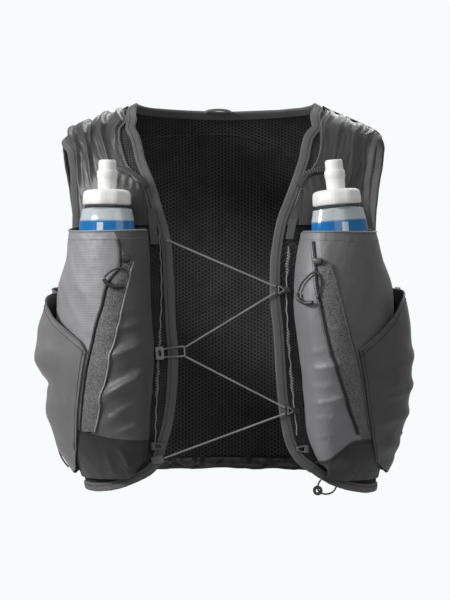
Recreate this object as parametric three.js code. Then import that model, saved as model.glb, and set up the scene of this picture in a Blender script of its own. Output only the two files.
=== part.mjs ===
// A running hydration vest, held in the form that it has when worn.
// Millimetres, +Z up, front faces -Y. The wearer's left is +X and the wearer's right is -X.
// The origin is midway between the two shoulder crests, where the vest sits.
//
// The whole vest is laid out on one trunk-like form. A place on it is a turn, from 0 at
// the middle of the front to 1 at the middle of the back, and a drop, a share of
// VEST_LENGTH below the crests. Cloth lies at a lift along the form's normal, and what
// bulges stands off by a swell that is level with the ground.
import * as THREE from 'three';

// The form
const VEST_LENGTH = 400;
const CHEST_HALF_WIDTH = 177;
const CHEST_FRONT_DEPTH = 114;
const CHEST_BACK_DEPTH = 118;
const CHEST_SQUARENESS = 2.4;

// Cloth, and the air left between two layers or beside a seam
const MESH_WALL = 1.4;
const CLOTH_WALL = 1.2;
const POCKET_WALL = 1.2;
const LAYER_GAP = 0.6;
const SEAM_GAP = 0.9;
const FACET_EASE = 0.9;

// Sewn edges
const BINDING_WIDTH = 9;
const BINDING_THICKNESS = 3.6;
const BINDING_SINK = 0.5;
const HEM_WIDTH = 8;
const HEM_THICKNESS = 3.2;
const LIP_WIDTH = 6;
const LIP_THICKNESS = 2.4;

// Gathers of the shoulder cloth and the creases of the pockets
const SHOULDER_FOLD = 3;
const CREASE_DEPTH = 3.5;

// Soft flasks, with a screwed cap and a bite valve
const FLASK_WIDTH = 60;
const FLASK_DEPTH = 42;
const FLASK_SUNK_LENGTH = 140;
const FLASK_SHOWN_LENGTH = 26;
const FLASK_COLLAR_DIAMETER = 42;
const FLASK_EASE = 2;
const CAP_DIAMETER = 50;
const CAP_HEIGHT = 16;
const CAP_LOBES = 9;
const CAP_LOBE_DEPTH = 0.8;
const VALVE_DIAMETER = 21;
const VALVE_LENGTH = 30;
const TETHER_DIAMETER = 1.8;

// The storage on the back, and how far the side pockets stand out
const PACK_SWELL = 38;
const SIDE_SWELL = 27;

// Zips
const TAPE_WALL = 1;
const SLIDER_LENGTH = 11;
const SLIDER_WIDTH = 7;
const SLIDER_THICKNESS = 3.2;
const PULLER_CORD_DIAMETER = 1.8;
const GRIP_DIAMETER = 4.6;

// Lacing across the chest, with its hooks, tabs and loops
const LACE_DIAMETER = 1.9;
const HOOK_THICKNESS = 2;
const HOOK_LENGTH = 14;
const HOOK_HEIGHT = 11;
const TAB_WALL = 1.4;
const LOOP_LENGTH = 29;
const LOOP_HEIGHT = 15;
const SMALL_LOOP_LENGTH = 13;
const SMALL_LOOP_HEIGHT = 8;

// Pole loops at the sides, a drawcord at the hem and the loop to hang the vest by
const POLE_CORD_DIAMETER = 1.8;
const KNOB_DIAMETER = 7.5;
const TOGGLE_DIAMETER = 10;
const TOGGLE_THICKNESS = 5;
const HANG_LOOP_WIDTH = 31;
const HANG_LOOP_RISE = 5;
const HANG_LOOP_THICKNESS = 1.8;

// Drop down the form, and its half width on each side and depth before and behind,
// as shares of the sizes above
const FORM = [
  { drop: -0.065, right: 0.486, left: 0.486, front: 0.044, back: 0.305 },
  { drop: -0.046, right: 0.531, left: 0.531, front: 0.114, back: 0.364 },
  { drop: -0.026, right: 0.599, left: 0.599, front: 0.237, back: 0.432 },
  { drop: 0, right: 0.74, left: 0.735, front: 0.377, back: 0.517 },
  { drop: 0.0375, right: 0.921, left: 0.905, front: 0.482, back: 0.61 },
  { drop: 0.0675, right: 0.977, left: 0.955, front: 0.544, back: 0.678 },
  { drop: 0.125, right: 1, left: 0.98, front: 0.667, back: 0.797 },
  { drop: 0.25, right: 0.983, left: 0.97, front: 0.86, back: 0.949 },
  { drop: 0.375, right: 0.938, left: 0.938, front: 0.965, back: 1 },
  { drop: 0.5, right: 0.921, left: 0.921, front: 1, back: 0.992 },
  { drop: 0.625, right: 0.921, left: 0.921, front: 0.991, back: 0.958 },
  { drop: 0.75, right: 0.904, left: 0.912, front: 0.956, back: 0.915 },
  { drop: 0.875, right: 0.864, left: 0.905, front: 0.912, back: 0.881 },
  { drop: 1, right: 0.819, left: 0.895, front: 0.877, back: 0.847 },
];

// Seam lines, from the crest of the shoulder down. Each row is a place on the form.
const FRONT_EDGE = {
  right: [
    [0.5, -0.034], [0.38, -0.022], [0.254, 0.004], [0.195, 0.036], [0.168, 0.062], [0.148, 0.124],
    [0.129, 0.184], [0.116, 0.242], [0.105, 0.3], [0.1, 0.36], [0.099, 0.424], [0.096, 0.531],
    [0.091, 0.624], [0.093, 0.673], [0.098, 0.735], [0.107, 0.79], [0.122, 0.84], [0.1385, 0.89],
  ],
  left: [
    [0.5, -0.034], [0.38, -0.024], [0.27, -0.006], [0.195, 0.03], [0.157, 0.059], [0.137, 0.122],
    [0.12, 0.184], [0.105, 0.235], [0.094, 0.275], [0.088, 0.323], [0.084, 0.39], [0.085, 0.47],
    [0.091, 0.54], [0.095, 0.62], [0.1, 0.7], [0.107, 0.77], [0.118, 0.83], [0.138, 0.872], [0.17, 0.9],
  ],
};
const ARM_FRONT = {
  right: [
    [0.5, 0.033], [0.448, 0.045], [0.35, 0.08], [0.329, 0.11], [0.319, 0.141], [0.318, 0.19],
    [0.316, 0.242], [0.322, 0.28], [0.345, 0.34], [0.385, 0.395], [0.44, 0.43], [0.5, 0.438],
  ],
  left: [
    [0.5, 0.033], [0.42, 0.039], [0.357, 0.05], [0.318, 0.085], [0.296, 0.138], [0.289, 0.177],
    [0.289, 0.217], [0.294, 0.255], [0.305, 0.281], [0.335, 0.34], [0.38, 0.395], [0.44, 0.43],
    [0.5, 0.438],
  ],
};
const ARM_BACK = [
  [0.56, 0.055], [0.61, 0.1], [0.635, 0.17], [0.64, 0.25], [0.63, 0.32], [0.605, 0.38], [0.56, 0.425],
];
const NECK_BACK = [[0.75, -0.0265], [1, -0.019]];
const HEM_LINE = {
  right: [[0.1385, 0.89], [0.155, 0.906], [0.191, 0.924], [0.238, 0.94], [0.293, 0.95], [0.38, 0.955],
    [0.47, 0.955]],
  left: [[0.17, 0.9], [0.195, 0.917], [0.234, 0.936], [0.294, 0.951], [0.384, 0.96], [0.47, 0.96]],
};
const HEM_BACK = [[0.5, 0.956], [0.62, 0.946], [0.8, 0.94], [1, 0.937]];
const YOKE_EDGE = {
  right: [
    [0.5, -0.028], [0.37, -0.016], [0.241, 0.01], [0.217, 0.033], [0.201, 0.053], [0.188, 0.08],
    [0.178, 0.105], [0.168, 0.129], [0.151, 0.15], [0.132, 0.186], [0.12, 0.242], [0.107, 0.31],
  ],
  left: [
    [0.5, -0.028], [0.37, -0.018], [0.212, 0.019], [0.181, 0.048], [0.168, 0.089], [0.158, 0.116],
    [0.147, 0.137], [0.135, 0.155], [0.123, 0.186], [0.109, 0.235], [0.098, 0.275], [0.092, 0.31],
  ],
};
const LIP_LINE = {
  right: [[0.131, 0.193], [0.152, 0.166], [0.175, 0.15], [0.2, 0.142]],
  left: [[0.124, 0.19], [0.133, 0.169], [0.15, 0.154], [0.19, 0.148]],
};

// Where a flask pocket is sewn down, with the flask's own place between its two edges
const POCKET_INNER = {
  right: [
    [0.128, 0.295], [0.13, 0.45], [0.126, 0.55], [0.122, 0.6], [0.125, 0.68], [0.1345, 0.755],
    [0.1416, 0.83], [0.156, 0.9],
  ],
  left: [
    [0.1266, 0.295], [0.1163, 0.41], [0.1155, 0.475], [0.1264, 0.6], [0.137, 0.7], [0.1463, 0.8],
    [0.164, 0.863], [0.19, 0.91],
  ],
};
const POCKET_OUTER = {
  right: [
    [0.31, 0.272], [0.325, 0.31], [0.345, 0.37], [0.4, 0.45], [0.42, 0.55], [0.44, 0.75], [0.455, 0.945],
  ],
  left: [
    [0.295, 0.284], [0.315, 0.32], [0.34, 0.37], [0.4, 0.45], [0.42, 0.55], [0.44, 0.75], [0.455, 0.952],
  ],
};
const FLASK_TURN = { right: 0.2, left: 0.192 };
const POCKET_RISE = [
  { drop: 0.26, share: 1.06 }, { drop: 0.36, share: 1.04 }, { drop: 0.45, share: 1 },
  { drop: 0.6, share: 0.93 }, { drop: 0.68, share: 0.86 }, { drop: 0.78, share: 0.72 },
  { drop: 0.86, share: 0.5 }, { drop: 0.92, share: 0.25 }, { drop: 0.96, share: 0.03 },
];
const INNER_FULLNESS = 0.34;
const OUTER_FULLNESS = 0.7;

// Zip lines: the coil's line, and the far edge of the knitted tape beside it
const ZIP_LINE = {
  right: [
    [0.157, 0.386], [0.181, 0.442], [0.19, 0.488], [0.202, 0.532], [0.214, 0.588], [0.232, 0.661],
    [0.245, 0.71], [0.259, 0.759], [0.278, 0.809],
  ],
  left: [
    [0.1415, 0.39], [0.144, 0.438], [0.151, 0.492], [0.165, 0.583], [0.177, 0.64], [0.195, 0.698],
    [0.216, 0.758], [0.245, 0.815],
  ],
};
const TAPE_LINE = {
  right: [
    [0.145, 0.38], [0.153, 0.435], [0.16, 0.48], [0.167, 0.532], [0.176, 0.583], [0.19, 0.655],
    [0.208, 0.721], [0.228, 0.783], [0.241, 0.808],
  ],
  left: [
    [0.161, 0.386], [0.17, 0.425], [0.189, 0.52], [0.207, 0.601], [0.232, 0.693], [0.248, 0.759],
    [0.274, 0.824],
  ],
};

// Side pockets: the slanting mouth, the seam that runs down beside the zip, and how far
// the cloth stands out at each drop, as shares of SIDE_SWELL
const SIDE_MOUTH = {
  right: [[0.231, 0.604], [0.24, 0.584], [0.265, 0.56], [0.305, 0.525], [0.35, 0.484], [0.41, 0.456],
    [0.48, 0.446], [0.55, 0.442], [0.62, 0.44]],
  left: [[0.218, 0.603], [0.234, 0.586], [0.262, 0.56], [0.295, 0.523], [0.33, 0.478], [0.38, 0.45],
    [0.45, 0.444], [0.54, 0.442], [0.62, 0.44]],
};
const SIDE_SEAM = {
  right: [[0.231, 0.604], [0.245, 0.662], [0.26, 0.715], [0.275, 0.76], [0.295, 0.81], [0.33, 0.86]],
  left: [[0.218, 0.603], [0.24, 0.694], [0.258, 0.76], [0.285, 0.826], [0.31, 0.865], [0.33, 0.89]],
};
const SIDE_BASE = [[0.4, 0.92], [0.5, 0.935], [0.62, 0.93]];
const SIDE_RISE = [
  { drop: 0.43, right: 0.5, left: 0.55 }, { drop: 0.5, right: 0.78, left: 0.82 },
  { drop: 0.56, right: 1, left: 0.86 }, { drop: 0.63, right: 0.95, left: 0.88 },
  { drop: 0.68, right: 0.68, left: 0.88 }, { drop: 0.72, right: 0.58, left: 0.86 },
  { drop: 0.79, right: 0.66, left: 0.75 }, { drop: 0.86, right: 0.7, left: 0.55 },
  { drop: 0.9, right: 0.44, left: 0.45 }, { drop: 0.96, right: 0.05, left: 0.1 },
];
const PACK_RISE = [
  { drop: -0.03, share: 0 }, { drop: 0.06, share: 0.3 }, { drop: 0.25, share: 0.92 },
  { drop: 0.5, share: 1 }, { drop: 0.75, share: 0.85 }, { drop: 0.88, share: 0.4 },
  { drop: 0.95, share: 0.03 },
];

// Gathers of the shoulder cloth: where each crosses the shoulder, from the neck side at 0
// to the arm side at 1, how wide and high it is, and where it starts and dies away
const SHOULDER_FOLDS = [
  { across: 0.16, width: 0.07, height: 0.8, reach: 0.42, lean: 0.05 },
  { across: 0.33, width: 0.07, height: 1, reach: 0.62, lean: 0.1 },
  { across: 0.5, width: 0.07, height: 0.7, reach: 0.5, lean: 0.16 },
  { across: 0.67, width: 0.07, height: 0.9, reach: 0.66, lean: 0.14 },
  { across: 0.85, width: 0.06, height: 0.8, reach: 0.4, lean: 0.06 },
];

// Creases in the flask pockets: a ridge from one place on the form to another
const POCKET_CREASES = {
  right: [
    { from: [0.13, 0.6], to: [0.19, 0.66], width: 0.022, height: 0.7 },
    { from: [0.13, 0.68], to: [0.2, 0.76], width: 0.022, height: 1 },
    { from: [0.14, 0.84], to: [0.2, 0.83], width: 0.02, height: 0.6 },
  ],
  left: [
    { from: [0.14, 0.66], to: [0.2, 0.63], width: 0.02, height: 0.6 },
    { from: [0.145, 0.74], to: [0.21, 0.72], width: 0.02, height: 0.6 },
    { from: [0.17, 0.86], to: [0.25, 0.9], width: 0.02, height: 0.6 },
  ],
};

// Working names for the two sides
const SIDES = [{ name: 'right', sign: -1 }, { name: 'left', sign: 1 }];

// Cubic through a table's column that never overshoots its rows
function smooth(marks, values, at) {
  const last = marks.length - 1;
  const x = Math.min(Math.max(at, marks[0]), marks[last]);
  const slope = (i) => (values[i + 1] - values[i]) / (marks[i + 1] - marks[i]);
  const tangent = (i) => {
    if (i === 0) return slope(0);
    if (i === last) return slope(last - 1);
    const product = slope(i - 1) * slope(i);
    return product <= 0 ? 0 : (2 * product) / (slope(i - 1) + slope(i));
  };
  let i = 0;
  while (i < last - 1 && x > marks[i + 1]) i += 1;
  const step = marks[i + 1] - marks[i];
  const t = (x - marks[i]) / step;
  return (1 + 2 * t) * (1 - t) ** 2 * values[i] + t * (1 - t) ** 2 * step * tangent(i)
    + t * t * (3 - 2 * t) * values[i + 1] + t * t * (t - 1) * step * tangent(i + 1);
}

const column = (rows, mark, key, at) => smooth(rows.map((r) => r[mark]), rows.map((r) => r[key]), at);
const ease = (from, to, at) => THREE.MathUtils.smoothstep(at, from, to);
const mix = THREE.MathUtils.lerp;
const rounded = (value) => Math.sign(value) * Math.abs(value) ** (2 / CHEST_SQUARENESS);

// The bare form at a place
function form(side, turn, drop) {
  const angle = Math.PI * turn;
  const width = CHEST_HALF_WIDTH * column(FORM, 'drop', side.name, drop);
  const isFront = Math.cos(angle) > 0;
  const depth = isFront
    ? CHEST_FRONT_DEPTH * column(FORM, 'drop', 'front', drop)
    : CHEST_BACK_DEPTH * column(FORM, 'drop', 'back', drop);
  return new THREE.Vector3(
    side.sign * width * rounded(Math.sin(angle)), -depth * rounded(Math.cos(angle)), -VEST_LENGTH * drop);
}

const PROBE = 2e-4;
function formNormal(side, turn, drop) {
  const across = form(side, turn + PROBE, drop).sub(form(side, turn - PROBE, drop));
  const down = form(side, turn, drop + PROBE).sub(form(side, turn, drop - PROBE));
  return down.cross(across).multiplyScalar(side.sign).normalize();
}

function levelNormal(side, turn, drop) {
  const normal = formNormal(side, turn, drop);
  return normal.setZ(0).normalize();
}

// A place on the form, raised by a lift and a level swell
function cloth(side, turn, drop, lift, swell = 0) {
  const point = form(side, turn, drop).addScaledVector(formNormal(side, turn, drop), lift);
  return swell === 0 ? point : point.addScaledVector(levelNormal(side, turn, drop), swell);
}

// A seam is even steps along a line of rows. It gives back places on the form.
const distance = (side, a, b) => form(side, a[0], a[1]).distanceTo(form(side, b[0], b[1]));
function seam(side, rows) {
  const marks = [0];
  rows.slice(1).forEach((row, i) => marks.push(marks[i] + distance(side, rows[i], row)));
  const turns = rows.map((row) => row[0]);
  const drops = rows.map((row) => row[1]);
  const total = marks[marks.length - 1];
  return (share) => [smooth(marks, turns, share * total), smooth(marks, drops, share * total)];
}

// Positions and triangles to a closed solid that faces out
function solid(points, faces) {
  const position = [];
  let volume = 0;
  faces.forEach(([a, b, c]) => {
    volume += points[a].dot(new THREE.Vector3().crossVectors(points[b], points[c]));
  });
  faces.forEach(([a, b, c]) => {
    (volume > 0 ? [a, b, c] : [a, c, b]).forEach((i) => position.push(points[i].x, points[i].y, points[i].z));
  });
  const geometry = new THREE.BufferGeometry();
  geometry.setAttribute('position', new THREE.Float32BufferAttribute(position, 3));
  geometry.computeVertexNormals();
  return geometry;
}

// A sheet of cloth: at(u, v) gives its outer face, and the wall goes inwards from there
function sheet(at, columns, rows, wall) {
  const step = 1e-3;
  const normalAt = (u, v) => {
    const across = at(Math.min(u + step, 1), v).sub(at(Math.max(u - step, 0), v));
    const down = at(u, Math.min(v + step, 1)).sub(at(u, Math.max(v - step, 0)));
    return down.cross(across).normalize();
  };
  const middle = at(0.5, 0.5);
  const outward = normalAt(0.5, 0.5).dot(new THREE.Vector3(middle.x, middle.y, 0)) > 0 ? 1 : -1;
  const points = [];
  for (const depth of [0, wall]) {
    for (let r = 0; r <= rows; r += 1) {
      for (let c = 0; c <= columns; c += 1) {
        const u = c / columns;
        const v = r / rows;
        points.push(at(u, v).addScaledVector(normalAt(u, v), -outward * depth));
      }
    }
  }
  const layer = (columns + 1) * (rows + 1);
  const index = (r, c) => r * (columns + 1) + c;
  const faces = [];
  const quad = (a, b, c, d) => faces.push([a, b, c], [a, c, d]);
  for (let r = 0; r < rows; r += 1) {
    for (let c = 0; c < columns; c += 1) {
      const [p, q, s, t] = [index(r, c), index(r, c + 1), index(r + 1, c + 1), index(r + 1, c)];
      quad(p, q, s, t);
      quad(t + layer, s + layer, q + layer, p + layer);
    }
  }
  const rim = [];
  for (let c = 0; c < columns; c += 1) rim.push(index(0, c));
  for (let r = 0; r < rows; r += 1) rim.push(index(r, columns));
  for (let c = columns; c > 0; c -= 1) rim.push(index(rows, c));
  for (let r = rows; r > 0; r -= 1) rim.push(index(r, 0));
  rim.forEach((a, i) => {
    const b = rim[(i + 1) % rim.length];
    quad(b, a, a + layer, b + layer);
  });
  return solid(points, faces);
}

// Rings of points joined one after the other, closed at the ends or into a loop
function stack(rings, isLoop = false) {
  const sides = rings[0].length;
  const points = rings.flat();
  const faces = [];
  const spans = isLoop ? rings.length : rings.length - 1;
  for (let r = 0; r < spans; r += 1) {
    const next = (r + 1) % rings.length;
    for (let s = 0; s < sides; s += 1) {
      const t = (s + 1) % sides;
      const [a, b, c, d] = [r * sides + s, r * sides + t, next * sides + t, next * sides + s];
      faces.push([a, b, c], [a, c, d]);
    }
  }
  if (!isLoop) {
    const cap = (start, isFlipped) => {
      for (let s = 1; s < sides - 1; s += 1) {
        const [b, c] = isFlipped ? [s + 1, s] : [s, s + 1];
        faces.push([start, start + b, start + c]);
      }
    };
    cap(0, true);
    cap((rings.length - 1) * sides, false);
  }
  return solid(points, faces);
}

// A strip along a seam: section corners are [across, out], across pointing to the free edge
function strip(places, section, isLoop = false) {
  const last = places.length - 1;
  const centre = places.map(({ side, turn, drop }) => cloth(side, turn, drop, 0));
  const rings = places.map(({ side, turn, drop }, i) => {
    const before = isLoop ? centre[(i + last) % (last + 1)] : centre[Math.max(i - 1, 0)];
    const after = isLoop ? centre[(i + 1) % (last + 1)] : centre[Math.min(i + 1, last)];
    const along = after.clone().sub(before).normalize();
    const across = along.clone().cross(formNormal(side, turn, drop)).normalize();
    const out = across.clone().cross(along);
    return section.map(([a, o]) => centre[i].clone().addScaledVector(across, a).addScaledVector(out, o));
  });
  return stack(rings, isLoop);
}

const tapeSection = (width, low, high) => [
  [SEAM_GAP, low], [width - (high - low) / 4, low], [width, (low + high) / 2],
  [width - (high - low) / 4, high], [SEAM_GAP, high],
];

// Places along a seam, as steps even in length
function walk(side, rows, steps) {
  const line = seam(side, rows);
  return Array.from({ length: steps + 1 }, (_, i) => {
    const [turn, drop] = line(i / steps);
    return { side, turn, drop };
  });
}

// A round cord along a curve through a few points
const CORD_SIDES = 6;
function cord(points, diameter, steps) {
  const circle = new THREE.Shape();
  for (let i = 0; i < CORD_SIDES; i += 1) {
    const angle = (2 * Math.PI * i) / CORD_SIDES;
    const corner = [Math.cos(angle) * diameter / 2, Math.sin(angle) * diameter / 2];
    if (i === 0) circle.moveTo(...corner);
    else circle.lineTo(...corner);
  }
  const path = new THREE.CatmullRomCurve3(points);
  return new THREE.ExtrudeGeometry(circle, { steps, extrudePath: path, bevelEnabled: false });
}

// Materials
const paint = (colour, roughness, metalness = 0) =>
  new THREE.MeshStandardMaterial({ color: colour, roughness, metalness, side: THREE.DoubleSide });
const MESH_BLACK = paint(0x1b1b1c, 0.9);
const BINDING_GREY = paint(0x565758, 0.85);
const YOKE_GREY = paint(0x3f4041, 0.75);
const POCKET_GREY = paint(0x8e9093, 0.6);
const SIDE_GREY = paint(0x56585a, 0.7);
const TAPE_GREY = paint(0x6a6b6c, 0.9);
const FITTING_GREY = paint(0x2c2d2f, 0.5);
const CORD_GREY = paint(0x8a8a8a, 0.7);
const CAP_WHITE = paint(0xe7e6e2, 0.45);
const FLASK_BLUE = paint(0x2d78ad, 0.25);

const vest = new THREE.Group();
function add(name, geometry, material, parent = vest) {
  const mesh = new THREE.Mesh(geometry, material);
  mesh.name = name;
  parent.add(mesh);
  return mesh;
}

// Lifts of the layers, each on top of the one before
const YOKE_TOP = MESH_WALL + LAYER_GAP + CLOTH_WALL;
const STRAP_TOP = YOKE_TOP + LAYER_GAP + CLOTH_WALL;
const CLOTH_TOP = MESH_WALL + LAYER_GAP + POCKET_WALL;
const POCKET_SEAT = CLOTH_TOP - 0.75 * POCKET_WALL;
const BINDING_TOP = BINDING_THICKNESS - BINDING_SINK;
const FLASK_BACK = STRAP_TOP + FLASK_EASE;
const POCKET_SWELL = FLASK_BACK + FLASK_DEPTH + FLASK_EASE - POCKET_SEAT;

// How far a flask pocket's face stands off at a place
function pocketFace(side, turn, drop) {
  const turnAt = (rows) => smooth(rows.map((r) => r[1]), rows.map((r) => r[0]), drop);
  const middle = FLASK_TURN[side.name];
  const isInner = turn < middle;
  const edge = turnAt(isInner ? POCKET_INNER[side.name] : POCKET_OUTER[side.name]);
  const away = Math.min(Math.abs((turn - middle) / (edge - middle)), 1);
  const fullness = isInner ? INNER_FULLNESS : OUTER_FULLNESS;
  return POCKET_SWELL * column(POCKET_RISE, 'drop', 'share', drop) * (1 - away ** 2) ** fullness;
}

const turnOf = (rows, drop) => smooth(rows.map((r) => r[1]), rows.map((r) => r[0]), drop);

// A crease stands out from the cloth in a soft ridge between two places
function creases(rows, turn, drop) {
  return rows.reduce((sum, { from, to, width, height }) => {
    const run = [to[0] - from[0], to[1] - from[1]];
    const length = run[0] ** 2 + run[1] ** 2;
    const along = ((turn - from[0]) * run[0] + (drop - from[1]) * run[1]) / length;
    const share = Math.min(Math.max(along, 0), 1);
    const off = Math.hypot(turn - from[0] - share * run[0], drop - from[1] - share * run[1]);
    return sum + height * Math.exp(-((off / width) ** 2)) * (1 - ease(0.5, 1, share));
  }, 0);
}

function pocketPoint(side, turn, drop) {
  const ridge = CREASE_DEPTH * creases(POCKET_CREASES[side.name], turn, drop);
  const lift = mix(POCKET_SEAT, CLOTH_TOP, ease(0.82, 0.9, drop));
  return cloth(side, turn, drop, lift, pocketFace(side, turn, drop) + ridge);
}

function pocketNormal(side, turn, drop) {
  const step = 10 * PROBE;
  const across = pocketPoint(side, turn + step, drop).sub(pocketPoint(side, turn - step, drop));
  const down = pocketPoint(side, turn, drop + step).sub(pocketPoint(side, turn, drop - step));
  return down.cross(across).multiplyScalar(side.sign).normalize();
}

const onPocket = (side, turn, drop, raise) =>
  pocketPoint(side, turn, drop).addScaledVector(pocketNormal(side, turn, drop), raise);

// A patch between four lines on the form. Each line gives places for shares of its length.
function patch(top, bottom, start, end) {
  const corners = [top(0), top(1), bottom(0), bottom(1)];
  return (u, v) => [0, 1].map((k) => mix(top(u)[k], bottom(u)[k], v) + mix(start(v)[k], end(v)[k], u)
    - mix(mix(corners[0][k], corners[1][k], u), mix(corners[2][k], corners[3][k], u), v));
}

// Front and back meet along the crest of the shoulder and at the side seam, a little either
// side of the middle turn, where the form is at its narrowest and needs the wider gap
const CREST_SEAM_TURN = 0.0042;
const SIDE_SEAM_TURN = 0.002;
const seamTurn = (drop) => mix(CREST_SEAM_TURN, SIDE_SEAM_TURN, ease(0.04, 0.15, drop));
const frontOf = (turn, drop) => Math.min(turn, 0.5 - seamTurn(drop));
const backOf = (turn, drop) => Math.max(turn, 0.5 + seamTurn(drop));
const SIDE_DROPS = [0.438, 0.55, 0.7, 0.85, 0.956];
const EDGE_EASE_TURN = 0.004;
const ARM_EASE_TURN = 0.017;
const NECK_EASE_DROP = 0.003;
const easedArm = (side) => ARM_FRONT[side.name].map(
  ([turn, drop]) => [turn < 0.49 ? turn - 2 * EDGE_EASE_TURN : turn, drop]);
const CREST = [[0.5, -0.034], [0.5, 0.033]];

// Body cloth: black spacer mesh next to the wearer
function addMesh() {
  for (const side of SIDES) {
    const front = seam(side, FRONT_EDGE[side.name].map(([turn, drop]) => [turn + EDGE_EASE_TURN, drop]));
    const outer = seam(side, [...easedArm(side), ...SIDE_DROPS.slice(1).map((drop) => [0.5, drop])]);
    const crest = seam(side, [FRONT_EDGE[side.name][0], ARM_FRONT[side.name][0]]);
    const hem = seam(side, [...HEM_LINE[side.name], HEM_BACK[0]]);
    const place = patch(crest, hem, front, outer);
    const lay = (u, v) => {
      const [turn, drop] = place(u, v);
      return cloth(side, frontOf(turn, drop), drop, MESH_WALL);
    };
    add(`front_mesh_${side.name}`, sheet(lay, 4, 22, MESH_WALL), MESH_BLACK);
  }
  add('back_mesh', sheet(backPanel(0.5, () => [MESH_WALL, 0]), 16, 12, MESH_WALL), MESH_BLACK);
}

// A panel across the whole back, from the crests down to the hem, with its side edges at
// one turn below the armholes. raise(away, drop) gives its lift and its swell.
function backPanel(sideTurn, raise) {
  const [right, left] = SIDES;
  const armRows = sideTurn > 0.6 ? ARM_BACK.slice(0, 4) : ARM_BACK;
  const armEnd = armRows.map(([turn, drop]) => [turn + ARM_EASE_TURN, drop]);
  const hemRows = HEM_BACK.filter((row) => row[0] > sideTurn);
  const corner = [sideTurn, smooth(HEM_BACK.map((r) => r[0]), HEM_BACK.map((r) => r[1]), sideTurn)];
  const neck = seam(left, [CREST[0], ...NECK_BACK].map(([turn, drop]) => [turn, drop + NECK_EASE_DROP]));
  const sideRows = SIDE_DROPS.slice(0, -1).map((drop) => [sideTurn, drop]);
  const edge = seam(left, [neck(0), CREST[1], ...armEnd, ...sideRows, corner]);
  const hem = seam(left, [corner, ...hemRows]);
  const spine = seam(left, [neck(1), [1, 0.2], [1, 0.5], [1, 0.8], hem(1)]);
  const place = patch(neck, hem, edge, spine);
  return (u, v) => {
    const [turn, drop] = place(1 - Math.abs(2 * u - 1), v);
    return cloth(u < 0.5 ? right : left, backOf(turn, drop), drop, ...raise(Math.abs(2 * u - 1), drop));
  };
}

// Shoulder cloth with its gathers, its elastic lip, and the strap pocket under the lip
const YOKE_BOTTOM = { inner: 0.286, outer: 0.262 };
const LIP_SHADOW = 0.006;
const STRAP_POCKET_INNER = { right: 0.131, left: 0.12 };
const STRAP_POCKET_OUTER = 0.235;
function addYokes() {
  for (const side of SIDES) {
    const innerRows = YOKE_EDGE[side.name].filter((row) => row[1] < YOKE_BOTTOM.inner - 0.01);
    const innerEnd = [turnOf(YOKE_EDGE[side.name], YOKE_BOTTOM.inner), YOKE_BOTTOM.inner];
    const inner = seam(side, [...innerRows, innerEnd]);
    const armRows = ARM_FRONT[side.name].filter((row) => row[1] < YOKE_BOTTOM.outer - 0.01);
    const armEnd = [turnOf(ARM_FRONT[side.name], YOKE_BOTTOM.outer), YOKE_BOTTOM.outer];
    const outer = seam(side, [...armRows, armEnd]);
    const fold = (u, v) => SHOULDER_FOLDS.reduce((sum, { across, width, height, reach, lean }) => {
      const off = (u - across - lean * v) / width;
      return sum + height * Math.exp(-off * off) * (1 - ease(reach * 0.5, reach, v));
    }, 0);
    const lay = (u, v) => {
      const [a, b] = [inner(v), outer(v)];
      const lift = YOKE_TOP + SHOULDER_FOLD * fold(u, v);
      const drop = mix(a[1], b[1], u);
      return cloth(side, frontOf(mix(a[0], b[0], u), drop), drop, lift);
    };
    add(`shoulder_yoke_${side.name}`, sheet(lay, 15, 9, CLOTH_WALL), YOKE_GREY);

    const lip = walk(side, LIP_LINE[side.name], 8);
    const lipLow = YOKE_TOP + LAYER_GAP;
    const direction = -side.sign;
    const lipSection = tapeSection(LIP_WIDTH, lipLow, lipLow + LIP_THICKNESS)
      .map(([across, out]) => [direction * across, out]);
    add(`yoke_lip_${side.name}`, strip(lip, lipSection), YOKE_GREY);

    const lipAt = seam(side, LIP_LINE[side.name]);
    const panel = (u, v) => {
      const top = lipAt(u);
      const turn = mix(top[0], mix(STRAP_POCKET_INNER[side.name], STRAP_POCKET_OUTER, u), v);
      return cloth(side, turn, mix(top[1] + LIP_SHADOW, YOKE_BOTTOM.inner, v), STRAP_TOP);
    };
    add(`strap_pocket_${side.name}`, sheet(panel, 6, 6, CLOTH_WALL), YOKE_GREY);
  }
}

// Flask pockets: open at the top, sewn down along both edges and at the hem
const hemDrop = (side, turn) => {
  const rows = HEM_LINE[side.name];
  return smooth(rows.map((r) => r[0]), rows.map((r) => r[1]), turn);
};
const POCKET_HEM_GAP = 0.018;
const POCKET_MOUTH = { right: [0.297, 0.303, 0.274], left: [0.303, 0.305, 0.286] };
function addFlaskPockets() {
  for (const side of SIDES) {
    const [innerTop, middleTop, outerTop] = POCKET_MOUTH[side.name];
    const innerRows = POCKET_INNER[side.name];
    const outerRows = POCKET_OUTER[side.name];
    const lay = (u, v) => {
      const swing = Math.PI * u;
      const middle = FLASK_TURN[side.name];
      const top = u < 0.5
        ? mix(innerTop, middleTop, Math.sin(swing))
        : mix(outerTop, middleTop, Math.sin(swing) ** 0.6);
      const bottomInner = innerRows[innerRows.length - 1];
      const bottomOuter = outerRows[outerRows.length - 1];
      const bottomTurn = mix(bottomInner[0], bottomOuter[0], (1 - Math.cos(swing)) / 2);
      const bottom = hemDrop(side, bottomTurn) - POCKET_HEM_GAP;
      const drop = mix(top, bottom, v);
      const edge = turnOf(u < 0.5 ? innerRows : outerRows, drop);
      const turn = middle + (edge - middle) * Math.abs(Math.cos(swing));
      return pocketPoint(side, turn, drop);
    };
    add(`flask_pocket_${side.name}`, sheet(lay, 12, 12, POCKET_WALL), POCKET_GREY);
  }
}

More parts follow.
